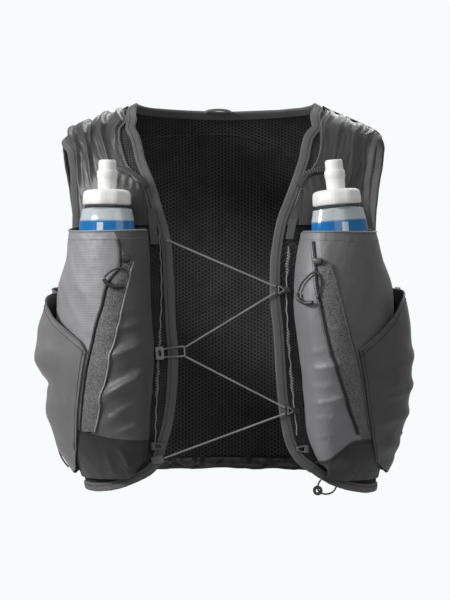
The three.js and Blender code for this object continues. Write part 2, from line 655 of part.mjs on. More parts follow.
// Knitted tapes beside the zips, lying on the pockets
function addZips() {
  for (const side of SIDES) {
    const zip = seam(side, ZIP_LINE[side.name]);
    const far = seam(side, TAPE_LINE[side.name]);
    const raise = FACET_EASE + TAPE_WALL;
    const lay = (u, v) => {
      const [a, b] = [zip(v), far(v)];
      return onPocket(side, mix(a[0], b[0], u), mix(a[1], b[1], u), raise);
    };
    add(`zip_tape_${side.name}`, sheet(lay, 3, 14, TAPE_WALL), TAPE_GREY);
  }
}

// Side pockets of stretch cloth, from the zip round to the back
const SIDE_END = 0.62;
const SIDE_EASE = 0.4;
function sidePoint(side, turn, drop, raise = 0) {
  const rows = SIDE_SEAM[side.name];
  const seamTurn = smooth(rows.map((r) => r[1]), rows.map((r) => r[0]), drop);
  const stand = SIDE_SWELL * column(SIDE_RISE, 'drop', side.name, drop)
    * ease(seamTurn, 0.46, turn) * (1 - ease(0.55, SIDE_END, turn));
  const base = turn < 0.5 ? pocketFace(side, turn, drop) : 0;
  return cloth(side, turn, drop, CLOTH_TOP, base + stand + SIDE_EASE + POCKET_WALL + raise);
}

function addSidePockets() {
  for (const side of SIDES) {
    const mouth = seam(side, SIDE_MOUTH[side.name]);
    const front = seam(side, SIDE_SEAM[side.name]);
    const rows = SIDE_SEAM[side.name];
    const base = seam(side, [rows[rows.length - 1], ...SIDE_BASE]);
    const backTop = SIDE_MOUTH[side.name].at(-1);
    const backEnd = SIDE_BASE.at(-1);
    const back = (v) => [mix(backTop[0], backEnd[0], v), mix(backTop[1], backEnd[1], v)];
    const place = patch(mouth, base, front, back);
    const lay = (u, v) => sidePoint(side, ...place(u, v));
    add(`side_pocket_${side.name}`, sheet(lay, 10, 9, POCKET_WALL), SIDE_GREY);
  }
}

// The storage on the back, hidden in use: one plain bag, open along its top edge
function addPack() {
  const raise = (away, drop) => {
    const crown = (1 - away ** 3) ** 0.7;
    return [CLOTH_TOP + 2.4 * FACET_EASE, PACK_SWELL * crown * column(PACK_RISE, 'drop', 'share', drop)];
  };
  add('back_pack', sheet(backPanel(0.64, raise), 16, 12, POCKET_WALL), YOKE_GREY);
}

// Bindings: one tape from hem to hem round the neck, one round each armhole, the hems
function addBindings() {
  const [right, left] = SIDES;
  const low = -BINDING_SINK;
  const section = tapeSection(BINDING_WIDTH, low, BINDING_TOP);
  const half = (side) => walk(side, [...FRONT_EDGE[side.name].slice().reverse(), ...NECK_BACK], 32);
  const front = [...half(right), ...half(left).reverse().slice(1)];
  add('front_binding', strip(front, section), BINDING_GREY);
  for (const side of SIDES) {
    const ring = [...ARM_FRONT[side.name], ...ARM_BACK.slice().reverse(), ARM_FRONT[side.name][0]];
    const places = walk(side, ring, 32).slice(0, -1);
    if (side.sign > 0) places.reverse();
    add(`arm_binding_${side.name}`, strip(places, section, true), BINDING_GREY);
    const hem = walk(side, HEM_LINE[side.name], 12).slice(1);
    if (side.sign < 0) hem.reverse();
    add(`hem_binding_${side.name}`, strip(hem, tapeSection(HEM_WIDTH, low, HEM_THICKNESS)), BINDING_GREY);
  }
}

// Soft flasks. Each is drawn as level sections up its own line: it follows the pocket
// below the mouth, and above it leans a little and keeps straight.
const FLASK_MOUTH_DROP = 0.3;
const FLASK_LEAN = 0.06;
const FLASK_TILT = { right: 0.005, left: -0.085 };
const FLASK_CORNERS = 14;

function flaskLine(side, height) {
  const swell = FLASK_BACK + FLASK_DEPTH / 2;
  const turn = FLASK_TURN[side.name];
  const drop = FLASK_MOUTH_DROP - Math.min(height, 0) / VEST_LENGTH;
  const point = cloth(side, turn, drop, 0, swell);
  const above = Math.max(height, 0);
  const tilt = FLASK_TILT[side.name] * ease(-70, 0, height);
  point.add(new THREE.Vector3(tilt * above, FLASK_LEAN * above, above));
  return { point, out: levelNormal(side, turn, Math.max(drop, FLASK_MOUTH_DROP)), tilt };
}

function flaskRing(side, height, halfWidth, halfDepth, corners, wave = () => 1) {
  const { point, out, tilt } = flaskLine(side, height);
  const across = new THREE.Vector3(-out.y, out.x, 0);
  return Array.from({ length: corners }, (_, i) => {
    const angle = (2 * Math.PI * i) / corners;
    const [a, o] = [halfWidth * Math.cos(angle) * wave(angle), halfDepth * Math.sin(angle) * wave(angle)];
    const corner = point.clone().addScaledVector(across, a).addScaledVector(out, o);
    corner.z -= tilt * (corner.x - point.x);
    return corner;
  });
}

// Height over the pocket mouth as a share of the sunk length below and the shown length
// above, with half width and half depth as shares of the flask's own
const FLASK_SECTIONS = [
  { sunk: 1, width: 0.8, depth: 0.1 }, { sunk: 0.95, width: 0.9, depth: 0.36 },
  { sunk: 0.78, width: 0.96, depth: 0.74 }, { sunk: 0.45, width: 0.98, depth: 0.92 },
  { sunk: 0, width: 1, depth: 1 }, { shown: 0.35, width: 0.98, depth: 1 },
  { shown: 0.6, width: 0.93, depth: 0.98 }, { shown: 0.86, width: 0.88, depth: 0.97 },
];
const CAP_SECTIONS = [
  { height: 0, radius: 0.94 }, { height: 0.12, radius: 1 }, { height: 0.7, radius: 0.98 },
  { height: 0.92, radius: 0.88 }, { height: 1, radius: 0.7 },
];
const VALVE_SECTIONS = [
  { height: 0, radius: 0.9 }, { height: 0.3, radius: 0.94 }, { height: 0.42, radius: 1 },
  { height: 0.6, radius: 1 }, { height: 0.66, radius: 0.88 }, { height: 0.95, radius: 0.86 },
  { height: 1, radius: 0.76 },
];
const PART_GAP = 0.35;

function addFlasks() {
  for (const side of SIDES) {
    const collar = FLASK_COLLAR_DIAMETER / 2;
    const body = FLASK_SECTIONS.map(({ sunk = 0, shown = 0, width, depth }) => flaskRing(
      side, shown * FLASK_SHOWN_LENGTH - sunk * FLASK_SUNK_LENGTH,
      width * FLASK_WIDTH / 2, depth * FLASK_DEPTH / 2, FLASK_CORNERS));
    for (const shown of [0.9, 1]) {
      body.push(flaskRing(side, shown * FLASK_SHOWN_LENGTH, collar, collar, FLASK_CORNERS));
    }
    add(`flask_${side.name}`, stack(body), FLASK_BLUE);

    const capBase = FLASK_SHOWN_LENGTH + PART_GAP;
    const lobes = (angle) => 1 - (CAP_LOBE_DEPTH / CAP_DIAMETER) * (1 - Math.cos(CAP_LOBES * angle));
    const cap = CAP_SECTIONS.map(({ height, radius }) => flaskRing(
      side, capBase + height * CAP_HEIGHT, radius * CAP_DIAMETER / 2, radius * CAP_DIAMETER / 2,
    2 * CAP_LOBES, lobes));
    add(`flask_cap_${side.name}`, stack(cap), CAP_WHITE);

    const valveBase = capBase + CAP_HEIGHT + PART_GAP;
    const valve = VALVE_SECTIONS.map(({ height, radius }) => flaskRing(
      side, valveBase + height * VALVE_LENGTH, radius * VALVE_DIAMETER / 2, radius * VALVE_DIAMETER / 2, 12));
    add(`bite_valve_${side.name}`, stack(valve), CAP_WHITE);

    const ringHeight = FLASK_SHOWN_LENGTH - TETHER_DIAMETER / 2 - PART_GAP;
    const ringRadius = collar + TETHER_DIAMETER / 2 + PART_GAP;
    const centres = flaskRing(side, ringHeight, ringRadius, ringRadius, FLASK_CORNERS);
    const { point } = flaskLine(side, ringHeight);
    const tether = centres.map((corner) => {
      const outward = corner.clone().sub(point).normalize();
      return Array.from({ length: 6 }, (_, i) => {
        const angle = (Math.PI * i) / 3;
        const shift = outward.clone().multiplyScalar(Math.cos(angle) * TETHER_DIAMETER / 2);
        return corner.clone().add(shift).add(new THREE.Vector3(0, 0, Math.sin(angle) * TETHER_DIAMETER / 2));
      });
    });
    add(`flask_tether_${side.name}`, stack(tether, true), FITTING_GREY);
  }
}

// Flat moulded and woven fittings are outlines laid on the cloth at a place. Their x runs
// towards +X, y up and z outwards.
function laid(side, turn, drop, lift, swell = 0) {
  const out = formNormal(side, turn, drop);
  const right = new THREE.Vector3(-out.y, out.x, 0).normalize().multiplyScalar(out.y < 0 ? 1 : -1);
  const up = out.clone().cross(right);
  const frame = new THREE.Matrix4().makeBasis(right, up, out);
  return frame.setPosition(cloth(side, turn, drop, lift, swell));
}

function outline(points, hole) {
  const shape = new THREE.Shape(points.map(([x, y]) => new THREE.Vector2(x, y)));
  if (hole) shape.holes.push(new THREE.Path(hole.map(([x, y]) => new THREE.Vector2(x, y))));
  return shape;
}

function slab(shape, thickness) {
  return new THREE.ExtrudeGeometry(shape, { depth: thickness, bevelEnabled: false, curveSegments: 4 });
}

function place(mesh, frame, angle = 0) {
  mesh.applyMatrix4(frame.clone().multiply(new THREE.Matrix4().makeRotationZ(angle)));
  return mesh;
}

// Lacing: tabs and loops on the wearer's right and hooks on the left carry one elastic
// cord, which crosses the chest four times
const OVER_BINDING = BINDING_TOP + LAYER_GAP;
const TAB_PLACES = {
  right: [[0.118, 0.245], [0.117, 0.335]],
  left: [[0.108, 0.27], [0.102, 0.322]],
};
const TAB_HALF_TURN = 0.0075;

// Outlines of the fittings, as shares of their length and height
const HOOK_OUTLINE = [[-0.5, -0.5], [-0.26, -0.5], [0.12, -0.24], [0.5, -0.27], [0.5, 0.27],
  [0.12, 0.24], [-0.26, 0.5], [-0.5, 0.5]];
const HOOK_EYE = [[-0.34, -0.3], [0.02, 0], [-0.34, 0.3]];
const LOOP_OUTLINE = [[-0.5, -0.5], [-0.2, -0.5], [0.42, -0.3], [0.5, -0.2], [0.5, 0.2], [0.42, 0.3],
  [-0.2, 0.5], [-0.5, 0.5]];
const LOOP_EYE = [[-0.16, -0.3], [0.34, -0.16], [0.34, 0.16], [-0.16, 0.3]];
const ANCHOR_OUTLINE = [[-0.5, -0.5], [0.5, -0.5], [0.5, 0.5], [-0.5, 0.5]];
const [RIGHT, LEFT] = SIDES;

// Name, place, length and height of each flat fitting, with its outline and its eye
const FITTINGS = [
  { name: 'hook_upper_left', side: LEFT, turn: 0.093, drop: 0.45, length: HOOK_LENGTH, height: HOOK_HEIGHT,
    outer: HOOK_OUTLINE, eye: HOOK_EYE, lean: 0 },
  { name: 'hook_lower_left', side: LEFT, turn: 0.114, drop: 0.756, length: HOOK_LENGTH, height: HOOK_HEIGHT,
    outer: HOOK_OUTLINE, eye: HOOK_EYE, lean: 0 },
  { name: 'lace_loop_right', side: RIGHT, turn: 0.0895, drop: 0.608, length: LOOP_LENGTH,
    height: LOOP_HEIGHT, outer: LOOP_OUTLINE, eye: LOOP_EYE, lean: 0.08 },
  { name: 'end_loop_right', side: RIGHT, turn: 0.122, drop: 0.847, length: SMALL_LOOP_LENGTH,
    height: SMALL_LOOP_HEIGHT, outer: LOOP_OUTLINE, eye: LOOP_EYE, lean: 0 },
  { name: 'end_loop_left', side: LEFT, turn: 0.137, drop: 0.855, length: SMALL_LOOP_LENGTH,
    height: SMALL_LOOP_HEIGHT, outer: LOOP_OUTLINE, eye: LOOP_EYE, lean: Math.PI },
  { name: 'lace_anchor_right', side: RIGHT, turn: 0.124, drop: 0.882, length: SMALL_LOOP_LENGTH,
    height: SMALL_LOOP_HEIGHT, outer: ANCHOR_OUTLINE, lean: 0.2 },
];

// Each crossing of the lace, from the wearer's right to the left, as places on the form
const LACE_RUNS = [
  { name: 'lace_run_1', right: [0.0905, 0.325], left: [0.0775, 0.442] },
  { name: 'lace_run_2', right: [0.0595, 0.594], left: [0.0775, 0.457] },
  { name: 'lace_run_3', right: [0.0595, 0.618], left: [0.098, 0.748] },
  { name: 'lace_run_4', right: [0.108, 0.877], left: [0.098, 0.763] },
];

function addLacing() {
  for (const side of SIDES) {
    const [top, bottom] = TAB_PLACES[side.name];
    const tab = (u, v) => cloth(side, mix(top[0], bottom[0], v) + mix(-1, 1, u) * TAB_HALF_TURN,
      mix(top[1], bottom[1], v), YOKE_TOP + LAYER_GAP + TAB_WALL);
    add(`lace_tab_${side.name}`, sheet(tab, 2, 3, TAB_WALL), SIDE_GREY);
  }
  for (const { name, side, turn, drop, length, height, outer, eye, lean } of FITTINGS) {
    const sized = (points) => points && points.map(([x, y]) => [x * length, y * height]);
    const mesh = add(name, slab(outline(sized(outer), sized(eye)), HOOK_THICKNESS), FITTING_GREY);
    place(mesh, laid(side, turn, drop, OVER_BINDING), lean);
  }
  const lift = OVER_BINDING + LACE_DIAMETER;
  for (const { name, right, left } of LACE_RUNS) {
    const ends = [cloth(RIGHT, ...right, lift), cloth(LEFT, ...left, lift)];
    add(name, cord([ends[0], ends[0].clone().lerp(ends[1], 0.5), ends[1]], LACE_DIAMETER, 2), CORD_GREY);
  }
}

// Zip sliders, each with a cord loop that ends in a moulded grip
const SLIDERS = { right: [0.154, 0.372], left: [0.142, 0.38] };
const GRIPS = {
  right: [[0.187, 0.423], [0.182, 0.435], [0.172, 0.442], [0.158, 0.44]],
  left: [[0.12, 0.458], [0.121, 0.474], [0.129, 0.483], [0.137, 0.481]],
};
const PULLER_CORDS = {
  right: [[0.187, 0.418], [0.174, 0.402], [0.159, 0.396], [0.152, 0.415], [0.155, 0.434]],
  left: [[0.1195, 0.4545], [0.124, 0.43], [0.138, 0.406], [0.147, 0.43], [0.142, 0.474]],
};

const OVER_TAPE = FACET_EASE + TAPE_WALL + 2 * PART_GAP;
function addPullers() {
  for (const side of SIDES) {
    const [turn, drop] = SLIDERS[side.name];
    const normal = pocketNormal(side, turn, drop);
    const level = new THREE.Vector3(-normal.y, normal.x, 0).normalize();
    const frame = new THREE.Matrix4().makeBasis(level, normal.clone().cross(level), normal);
    frame.setPosition(onPocket(side, turn, drop, OVER_TAPE));
    const [w, l] = [SLIDER_WIDTH / 2, SLIDER_LENGTH / 2];
    const body = outline([
      [-w, l * 0.6], [-w * 0.7, -l], [w * 0.7, -l], [w, l * 0.6], [w * 0.5, l], [-w * 0.5, l]]);
    place(add(`zip_slider_${side.name}`, slab(body, SLIDER_THICKNESS), FITTING_GREY), frame, 0);

    const grip = GRIPS[side.name].map((p) => onPocket(side, ...p, GRIP_DIAMETER / 2 + OVER_TAPE));
    add(`puller_grip_${side.name}`, cord(grip, GRIP_DIAMETER, 5), FITTING_GREY);
    const loopRaise = PULLER_CORD_DIAMETER / 2 + OVER_TAPE;
    const loop = PULLER_CORDS[side.name].map((p) => onPocket(side, ...p, loopRaise));
    add(`puller_cord_${side.name}`, cord(loop, PULLER_CORD_DIAMETER, 10), FITTING_GREY);
  }
}

// Elastic loops that hold poles at the sides, each under a small knob
const POLE_LOOPS = {
  right: { turn: 0.52, top: 0.81, run: [[0.828, -0.6], [0.86, 1.6], [0.885, 4.6], [0.905, 6], [0.922, 4.6]] },
  left: { turn: 0.52, top: 0.83, run: [[0.848, -0.3], [0.875, 1.2], [0.895, 2.4], [0.91, 2.4], [0.92, 2]] },
};

function addPoleLoops() {
  for (const side of SIDES) {
    const { turn, top, run } = POLE_LOOPS[side.name];
    const knob = new THREE.SphereGeometry(KNOB_DIAMETER / 2, 8, 6);
    const centre = sidePoint(side, turn, top, KNOB_DIAMETER / 2 + PART_GAP);
    knob.translate(centre.x, centre.y, centre.z);
    add(`pole_knob_${side.name}`, knob, FITTING_GREY);
    const points = run.map(([drop, stand]) => sidePoint(
      side, turn, drop, POLE_CORD_DIAMETER / 2 + PART_GAP + stand));
    add(`pole_cord_${side.name}`, cord(points, POLE_CORD_DIAMETER, 10), FITTING_GREY);
  }
}

// Drawcord that hangs in a loop below the left hem, through its lock. The points are
// chosen by hand, from where it leaves the hem.
const DRAWCORD_PLACE = { turn: 0.187, drop: 0.9365 };
const DRAWCORD_ROUTE = [[0, 0, 0], [-2.5, -1, -4], [-3.4, -1, -9], [0, -1, -13.5], [7, -0.5, -14.6],
  [13, 1, -12], [16.5, 2.4, -6.5]];
const TOGGLE_PLACE = [-3.4, -1, -10.6];

function addDrawcord() {
  const start = cloth(LEFT, DRAWCORD_PLACE.turn, DRAWCORD_PLACE.drop, BINDING_TOP / 2);
  const route = DRAWCORD_ROUTE.map((step) => start.clone().add(new THREE.Vector3(...step)));
  add('drawcord_left', cord(route, POLE_CORD_DIAMETER, 16), FITTING_GREY);
  const r = TOGGLE_DIAMETER / 2;
  const circle = (radius) => Array.from({ length: 12 }, (_, i) => [
    radius * Math.cos(Math.PI * i / 6), radius * Math.sin(Math.PI * i / 6)]);
  const lock = slab(outline(circle(r), circle(r * 0.4)), TOGGLE_THICKNESS);
  const front = -(POLE_CORD_DIAMETER / 2 + PART_GAP);
  lock.rotateX(Math.PI / 2);
  const centre = start.clone().add(new THREE.Vector3(...TOGGLE_PLACE));
  lock.translate(centre.x, centre.y + front, centre.z);
  add('drawcord_lock_left', lock, FITTING_GREY);
}

// A flat loop on the back of the neck binding, to hang the vest by
const HANG_LOOP_CENTRE = -8;
function addHangLoop() {
  const out = formNormal(LEFT, 1, NECK_BACK.at(-1)[1]);
  const along = new THREE.Vector3(-1, 0, 0);
  const across = out.clone().cross(along).normalize();
  const up = across.z > 0 ? across : across.negate();
  const base = cloth(LEFT, 1, NECK_BACK.at(-1)[1], 0).addScaledVector(up, BINDING_WIDTH + 3 * PART_GAP);
  const arch = (rise, half) => Array.from({ length: 9 }, (_, i) => [
    -half * Math.cos(Math.PI * i / 8), rise * Math.sin(Math.PI * i / 8)]);
  const half = HANG_LOOP_WIDTH / 2;
  const outer = arch(HANG_LOOP_RISE, half);
  const inner = arch(HANG_LOOP_RISE - HANG_LOOP_THICKNESS, half - 2 * HANG_LOOP_THICKNESS).reverse();
  const mesh = add('hang_loop', slab(outline([...outer, ...inner]), BINDING_TOP), FITTING_GREY);
  const frame = new THREE.Matrix4().makeBasis(along.clone().negate(), up, along.clone().negate().cross(up));
  frame.setPosition(base.x + HANG_LOOP_CENTRE, base.y, base.z);
  mesh.applyMatrix4(frame);
}

addMesh();
addYokes();
addFlaskPockets();
addZips();
addSidePockets();
addPack();
addBindings();
addFlasks();
addLacing();
addPullers();
addPoleLoops();
addDrawcord();
addHangLoop();

export default vest;
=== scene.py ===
# %% [markdown]
# A running hydration vest, dressed for a picture.
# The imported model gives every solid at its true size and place, and this script lays
# cloth, tapes, stitches and film over it. Lengths here are millimetres unless a name
# says metres, and `MM` turns them into Blender's metres when a mesh is made.

# %% Frame
import math

import bpy
import numpy as np
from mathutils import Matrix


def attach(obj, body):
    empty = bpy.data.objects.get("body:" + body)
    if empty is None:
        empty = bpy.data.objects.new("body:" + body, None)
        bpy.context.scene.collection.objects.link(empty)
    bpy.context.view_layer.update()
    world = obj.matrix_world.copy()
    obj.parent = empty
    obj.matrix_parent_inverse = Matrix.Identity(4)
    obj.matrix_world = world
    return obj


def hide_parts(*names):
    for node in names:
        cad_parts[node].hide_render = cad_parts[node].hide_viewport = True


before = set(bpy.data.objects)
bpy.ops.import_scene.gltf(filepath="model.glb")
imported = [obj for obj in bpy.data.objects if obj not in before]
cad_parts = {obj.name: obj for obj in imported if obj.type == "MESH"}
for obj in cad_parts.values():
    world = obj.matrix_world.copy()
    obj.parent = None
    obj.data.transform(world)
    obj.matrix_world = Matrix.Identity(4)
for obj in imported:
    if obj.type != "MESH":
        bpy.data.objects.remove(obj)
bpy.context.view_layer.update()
MM = 0.001
print("solids in the frame:", len(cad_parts))

# %% [markdown]
# The whole vest lies on one trunk-like form, as a pattern cutter would pin it to a
# dress form. A place is a turn, from 0 at the middle of the front to 1 at the middle of
# the back, and a drop, the share of the length below the shoulder crests. With arrays
# for both, one call places a whole sheet of cloth.

# %% The form
VEST_LENGTH = 400
HALF_WIDTH, FRONT_DEPTH, BACK_DEPTH = 177, 114, 118
SQUARENESS = 2.4
FORM_COLUMNS = ("drop", "right", "left", "front", "back")
FORM_ROWS = np.array([
    (-0.065, 0.486, 0.486, 0.044, 0.305), (-0.046, 0.531, 0.531, 0.114, 0.364),
    (-0.026, 0.599, 0.599, 0.237, 0.432), (0, 0.74, 0.735, 0.377, 0.517),
    (0.0375, 0.921, 0.905, 0.482, 0.61), (0.0675, 0.977, 0.955, 0.544, 0.678),
    (0.125, 1, 0.98, 0.667, 0.797), (0.25, 0.983, 0.97, 0.86, 0.949),
    (0.375, 0.938, 0.938, 0.965, 1), (0.5, 0.921, 0.921, 1, 0.992),
    (0.625, 0.921, 0.921, 0.991, 0.958), (0.75, 0.904, 0.912, 0.956, 0.915),
    (0.875, 0.864, 0.905, 0.912, 0.881), (1, 0.819, 0.895, 0.877, 0.847)])
SIGN = {"right": -1, "left": 1}
SIDES = tuple(SIGN)


def smooth(marks, values, at):
    """A cubic through the rows of a table that never overshoots them."""
    marks, values = np.asarray(marks, float), np.asarray(values, float)
    at = np.clip(at, marks[0], marks[-1])
    slope = np.diff(values) / np.diff(marks)
    product, total = slope[:-1] * slope[1:], slope[:-1] + slope[1:]
    inner = np.where(product > 0, 2 * product / np.where(total == 0, 1, total), 0)
    tangent = np.concatenate([slope[:1], inner, slope[-1:]])
    i = np.clip(np.searchsorted(marks, at) - 1, 0, len(marks) - 2)
    step = marks[i + 1] - marks[i]
    t = (at - marks[i]) / step
    return ((1 + 2 * t) * (1 - t) ** 2 * values[i] + t * (1 - t) ** 2 * step * tangent[i]
            + t * t * (3 - 2 * t) * values[i + 1] + t * t * (t - 1) * step * tangent[i + 1])


def ease(low, high, at):
    t = np.clip((np.asarray(at, float) - low) / (high - low), 0, 1)
    return t * t * (3 - 2 * t)


def mix(a, b, t):
    return a + (b - a) * t


def unit(v):
    return v / np.linalg.norm(v, axis=-1, keepdims=True)


def share(key, drop):
    return smooth(FORM_ROWS[:, 0], FORM_ROWS[:, FORM_COLUMNS.index(key)], drop)


def form(side, turn, drop):
    turn, drop = np.broadcast_arrays(np.asarray(turn, float), np.asarray(drop, float))
    s, c = np.sin(np.pi * turn), np.cos(np.pi * turn)
    power = 2 / SQUARENESS
    depth = np.where(c > 0, FRONT_DEPTH * share("front", drop), BACK_DEPTH * share("back", drop))
    x = SIGN[side] * HALF_WIDTH * share(side, drop) * np.sign(s) * np.abs(s) ** power
    return np.stack([x, -depth * np.sign(c) * np.abs(c) ** power, -VEST_LENGTH * drop], -1)


def form_normal(side, turn, drop, probe=2e-4):
    across = form(side, turn + probe, drop) - form(side, turn - probe, drop)
    down = form(side, turn, drop + probe) - form(side, turn, drop - probe)
    return SIGN[side] * unit(np.cross(down, across))


def level_normal(side, turn, drop):
    flat = form_normal(side, turn, drop)
    flat[..., 2] = 0
    return unit(flat)


def cloth(side, turn, drop, lift=0.0, swell=0.0):
    turn, drop = np.asarray(turn, float), np.asarray(drop, float)
    lift, swell = np.asarray(lift, float)[..., None], np.asarray(swell, float)[..., None]
    return (form(side, turn, drop) + lift * form_normal(side, turn, drop)
            + swell * level_normal(side, turn, drop))


def table(rows, at):
    rows = np.asarray(rows, float)
    return smooth(rows[:, 0], rows[:, 1], at)


def turn_at(rows, drop):
    return table([row[::-1] for row in rows], drop)


def lengths_along(path):
    """Length of a path up to each of its points."""
    return np.concatenate([[0], np.cumsum(np.linalg.norm(np.diff(path, axis=0), axis=1))])


def seam(side, rows):
    """Even steps along a line of places: share of its length to (turn, drop)."""
    rows = np.asarray(rows, float)
    marks = lengths_along(form(side, rows[:, 0], rows[:, 1]))
    marks /= marks[-1]
    return lambda at: np.stack([smooth(marks, rows[:, 0], at), smooth(marks, rows[:, 1], at)], -1)


def patch(top, bottom, start, end):
    """Places between four lines that meet at their ends."""
    corner = [top(0.0), top(1.0), bottom(0.0), bottom(1.0)]

    def place(u, v):
        s, t = u[..., None], v[..., None]
        flat = mix(mix(corner[0], corner[1], s), mix(corner[2], corner[3], s), t)
        return mix(top(u), bottom(u), t) + mix(start(v), end(v), s) - flat
    return place


def grid_of(columns, rows):
    return np.meshgrid(np.linspace(0, 1, columns + 1), np.linspace(0, 1, rows + 1))


print("half width at the chest, mm:", round(float(abs(form("left", 0.5, 0.5)[0]))))

# %% [markdown]
# Every sewn edge is a line on that form. The rows repeat the seam lines that the solids
# are built on, so cloth, bindings and stitches meet where the solids do.

# %% Seam lines
FRONT_EDGE = {
    "right": [
        (0.5, -0.034), (0.38, -0.022), (0.254, 0.004), (0.195, 0.036), (0.168, 0.062),
        (0.148, 0.124), (0.129, 0.184), (0.116, 0.242), (0.105, 0.3), (0.1, 0.36),
        (0.099, 0.424), (0.096, 0.531), (0.091, 0.624), (0.093, 0.673), (0.098, 0.735),
        (0.107, 0.79), (0.122, 0.84), (0.1385, 0.89)],
    "left": [
        (0.5, -0.034), (0.38, -0.024), (0.27, -0.006), (0.195, 0.03), (0.157, 0.059),
        (0.137, 0.122), (0.12, 0.184), (0.105, 0.235), (0.094, 0.275), (0.088, 0.323),
        (0.084, 0.39), (0.085, 0.47), (0.091, 0.54), (0.095, 0.62), (0.1, 0.7),
        (0.107, 0.77), (0.118, 0.83), (0.138, 0.872), (0.17, 0.9)],
}
ARM_FRONT = {
    "right": [
        (0.5, 0.033), (0.448, 0.045), (0.35, 0.08), (0.329, 0.11), (0.319, 0.141),
        (0.318, 0.19), (0.316, 0.242), (0.322, 0.28), (0.345, 0.34), (0.385, 0.395),
        (0.44, 0.43), (0.5, 0.438)],
    "left": [
        (0.5, 0.033), (0.42, 0.039), (0.357, 0.05), (0.318, 0.085), (0.296, 0.138),
        (0.289, 0.177), (0.289, 0.217), (0.294, 0.255), (0.305, 0.281), (0.335, 0.34),
        (0.38, 0.395), (0.44, 0.43), (0.5, 0.438)],
}
ARM_BACK = [(0.56, 0.055), (0.61, 0.1), (0.635, 0.17), (0.64, 0.25), (0.63, 0.32),
            (0.605, 0.38), (0.56, 0.425)]
NECK_BACK = [(0.75, -0.0265), (1, -0.019)]
HEM_LINE = {
    "right": [(0.1385, 0.89), (0.155, 0.906), (0.191, 0.924), (0.238, 0.94), (0.293, 0.95),
              (0.38, 0.955), (0.47, 0.955)],
    "left": [(0.17, 0.9), (0.195, 0.917), (0.234, 0.936), (0.294, 0.951), (0.384, 0.96),
             (0.47, 0.96)],
}
HEM_BACK = [(0.5, 0.956), (0.62, 0.946), (0.8, 0.94), (1, 0.937)]
YOKE_EDGE = {
    "right": [
        (0.5, -0.028), (0.37, -0.016), (0.241, 0.01), (0.217, 0.033), (0.201, 0.053),
        (0.188, 0.08), (0.178, 0.105), (0.168, 0.129), (0.151, 0.15), (0.132, 0.186),
        (0.12, 0.242), (0.107, 0.31)],
    "left": [
        (0.5, -0.028), (0.37, -0.018), (0.212, 0.019), (0.181, 0.048), (0.168, 0.089),
        (0.158, 0.116), (0.147, 0.137), (0.135, 0.155), (0.123, 0.186), (0.109, 0.235),
        (0.098, 0.275), (0.092, 0.31)],
}
LIP_LINE = {
    "right": [(0.131, 0.193), (0.152, 0.166), (0.175, 0.15), (0.2, 0.142)],
    "left": [(0.124, 0.19), (0.133, 0.169), (0.15, 0.154), (0.19, 0.148)],
}
POCKET_INNER = {
    "right": [(0.128, 0.295), (0.13, 0.45), (0.126, 0.55), (0.122, 0.6), (0.125, 0.68),
              (0.1345, 0.755), (0.1416, 0.83), (0.156, 0.9)],
    "left": [(0.1266, 0.295), (0.1163, 0.41), (0.1155, 0.475), (0.1264, 0.6), (0.137, 0.7),
             (0.1463, 0.8), (0.164, 0.863), (0.19, 0.91)],
}
POCKET_OUTER = {
    "right": [(0.31, 0.272), (0.325, 0.31), (0.345, 0.37), (0.4, 0.45), (0.42, 0.55),
              (0.44, 0.75), (0.455, 0.945)],
    "left": [(0.295, 0.284), (0.315, 0.32), (0.34, 0.37), (0.4, 0.45), (0.42, 0.55),
             (0.44, 0.75), (0.455, 0.952)],
}
ZIP_LINE = {
    "right": [(0.157, 0.386), (0.181, 0.442), (0.19, 0.488), (0.202, 0.532), (0.214, 0.588),
              (0.232, 0.661), (0.245, 0.71), (0.259, 0.759), (0.278, 0.809)],
    "left": [(0.1415, 0.39), (0.144, 0.438), (0.151, 0.492), (0.165, 0.583), (0.177, 0.64),
             (0.195, 0.698), (0.216, 0.758), (0.245, 0.815)],
}
TAPE_LINE = {
    "right": [(0.145, 0.38), (0.153, 0.435), (0.16, 0.48), (0.167, 0.532), (0.176, 0.583),
              (0.19, 0.655), (0.208, 0.721), (0.228, 0.783), (0.241, 0.808)],
    "left": [(0.161, 0.386), (0.17, 0.425), (0.189, 0.52), (0.207, 0.601), (0.232, 0.693),
             (0.248, 0.759), (0.274, 0.824)],
}
SIDE_MOUTH = {
    "right": [(0.231, 0.604), (0.24, 0.584), (0.265, 0.56), (0.305, 0.525), (0.35, 0.484),
              (0.41, 0.456), (0.48, 0.446), (0.55, 0.442), (0.62, 0.44)],
    "left": [(0.218, 0.603), (0.234, 0.586), (0.262, 0.56), (0.295, 0.523), (0.33, 0.478),
             (0.38, 0.45), (0.45, 0.444), (0.54, 0.442), (0.62, 0.44)],
}
SIDE_SEAM = {
    "right": [(0.231, 0.604), (0.245, 0.662), (0.26, 0.715), (0.275, 0.76), (0.295, 0.81),
              (0.33, 0.86)],
    "left": [(0.218, 0.603), (0.24, 0.694), (0.258, 0.76), (0.285, 0.826), (0.31, 0.865),
             (0.33, 0.89)],
}
SIDE_BASE = [(0.4, 0.92), (0.5, 0.935), (0.62, 0.93)]
CREST = [(0.5, -0.034), (0.5, 0.033)]
print("seam lines on each side:", 10)

# %% [markdown]
# Layers lie on each other with a little air between, so that no cloth shows through its
# neighbour. The pocket's swell comes from the flask inside it.

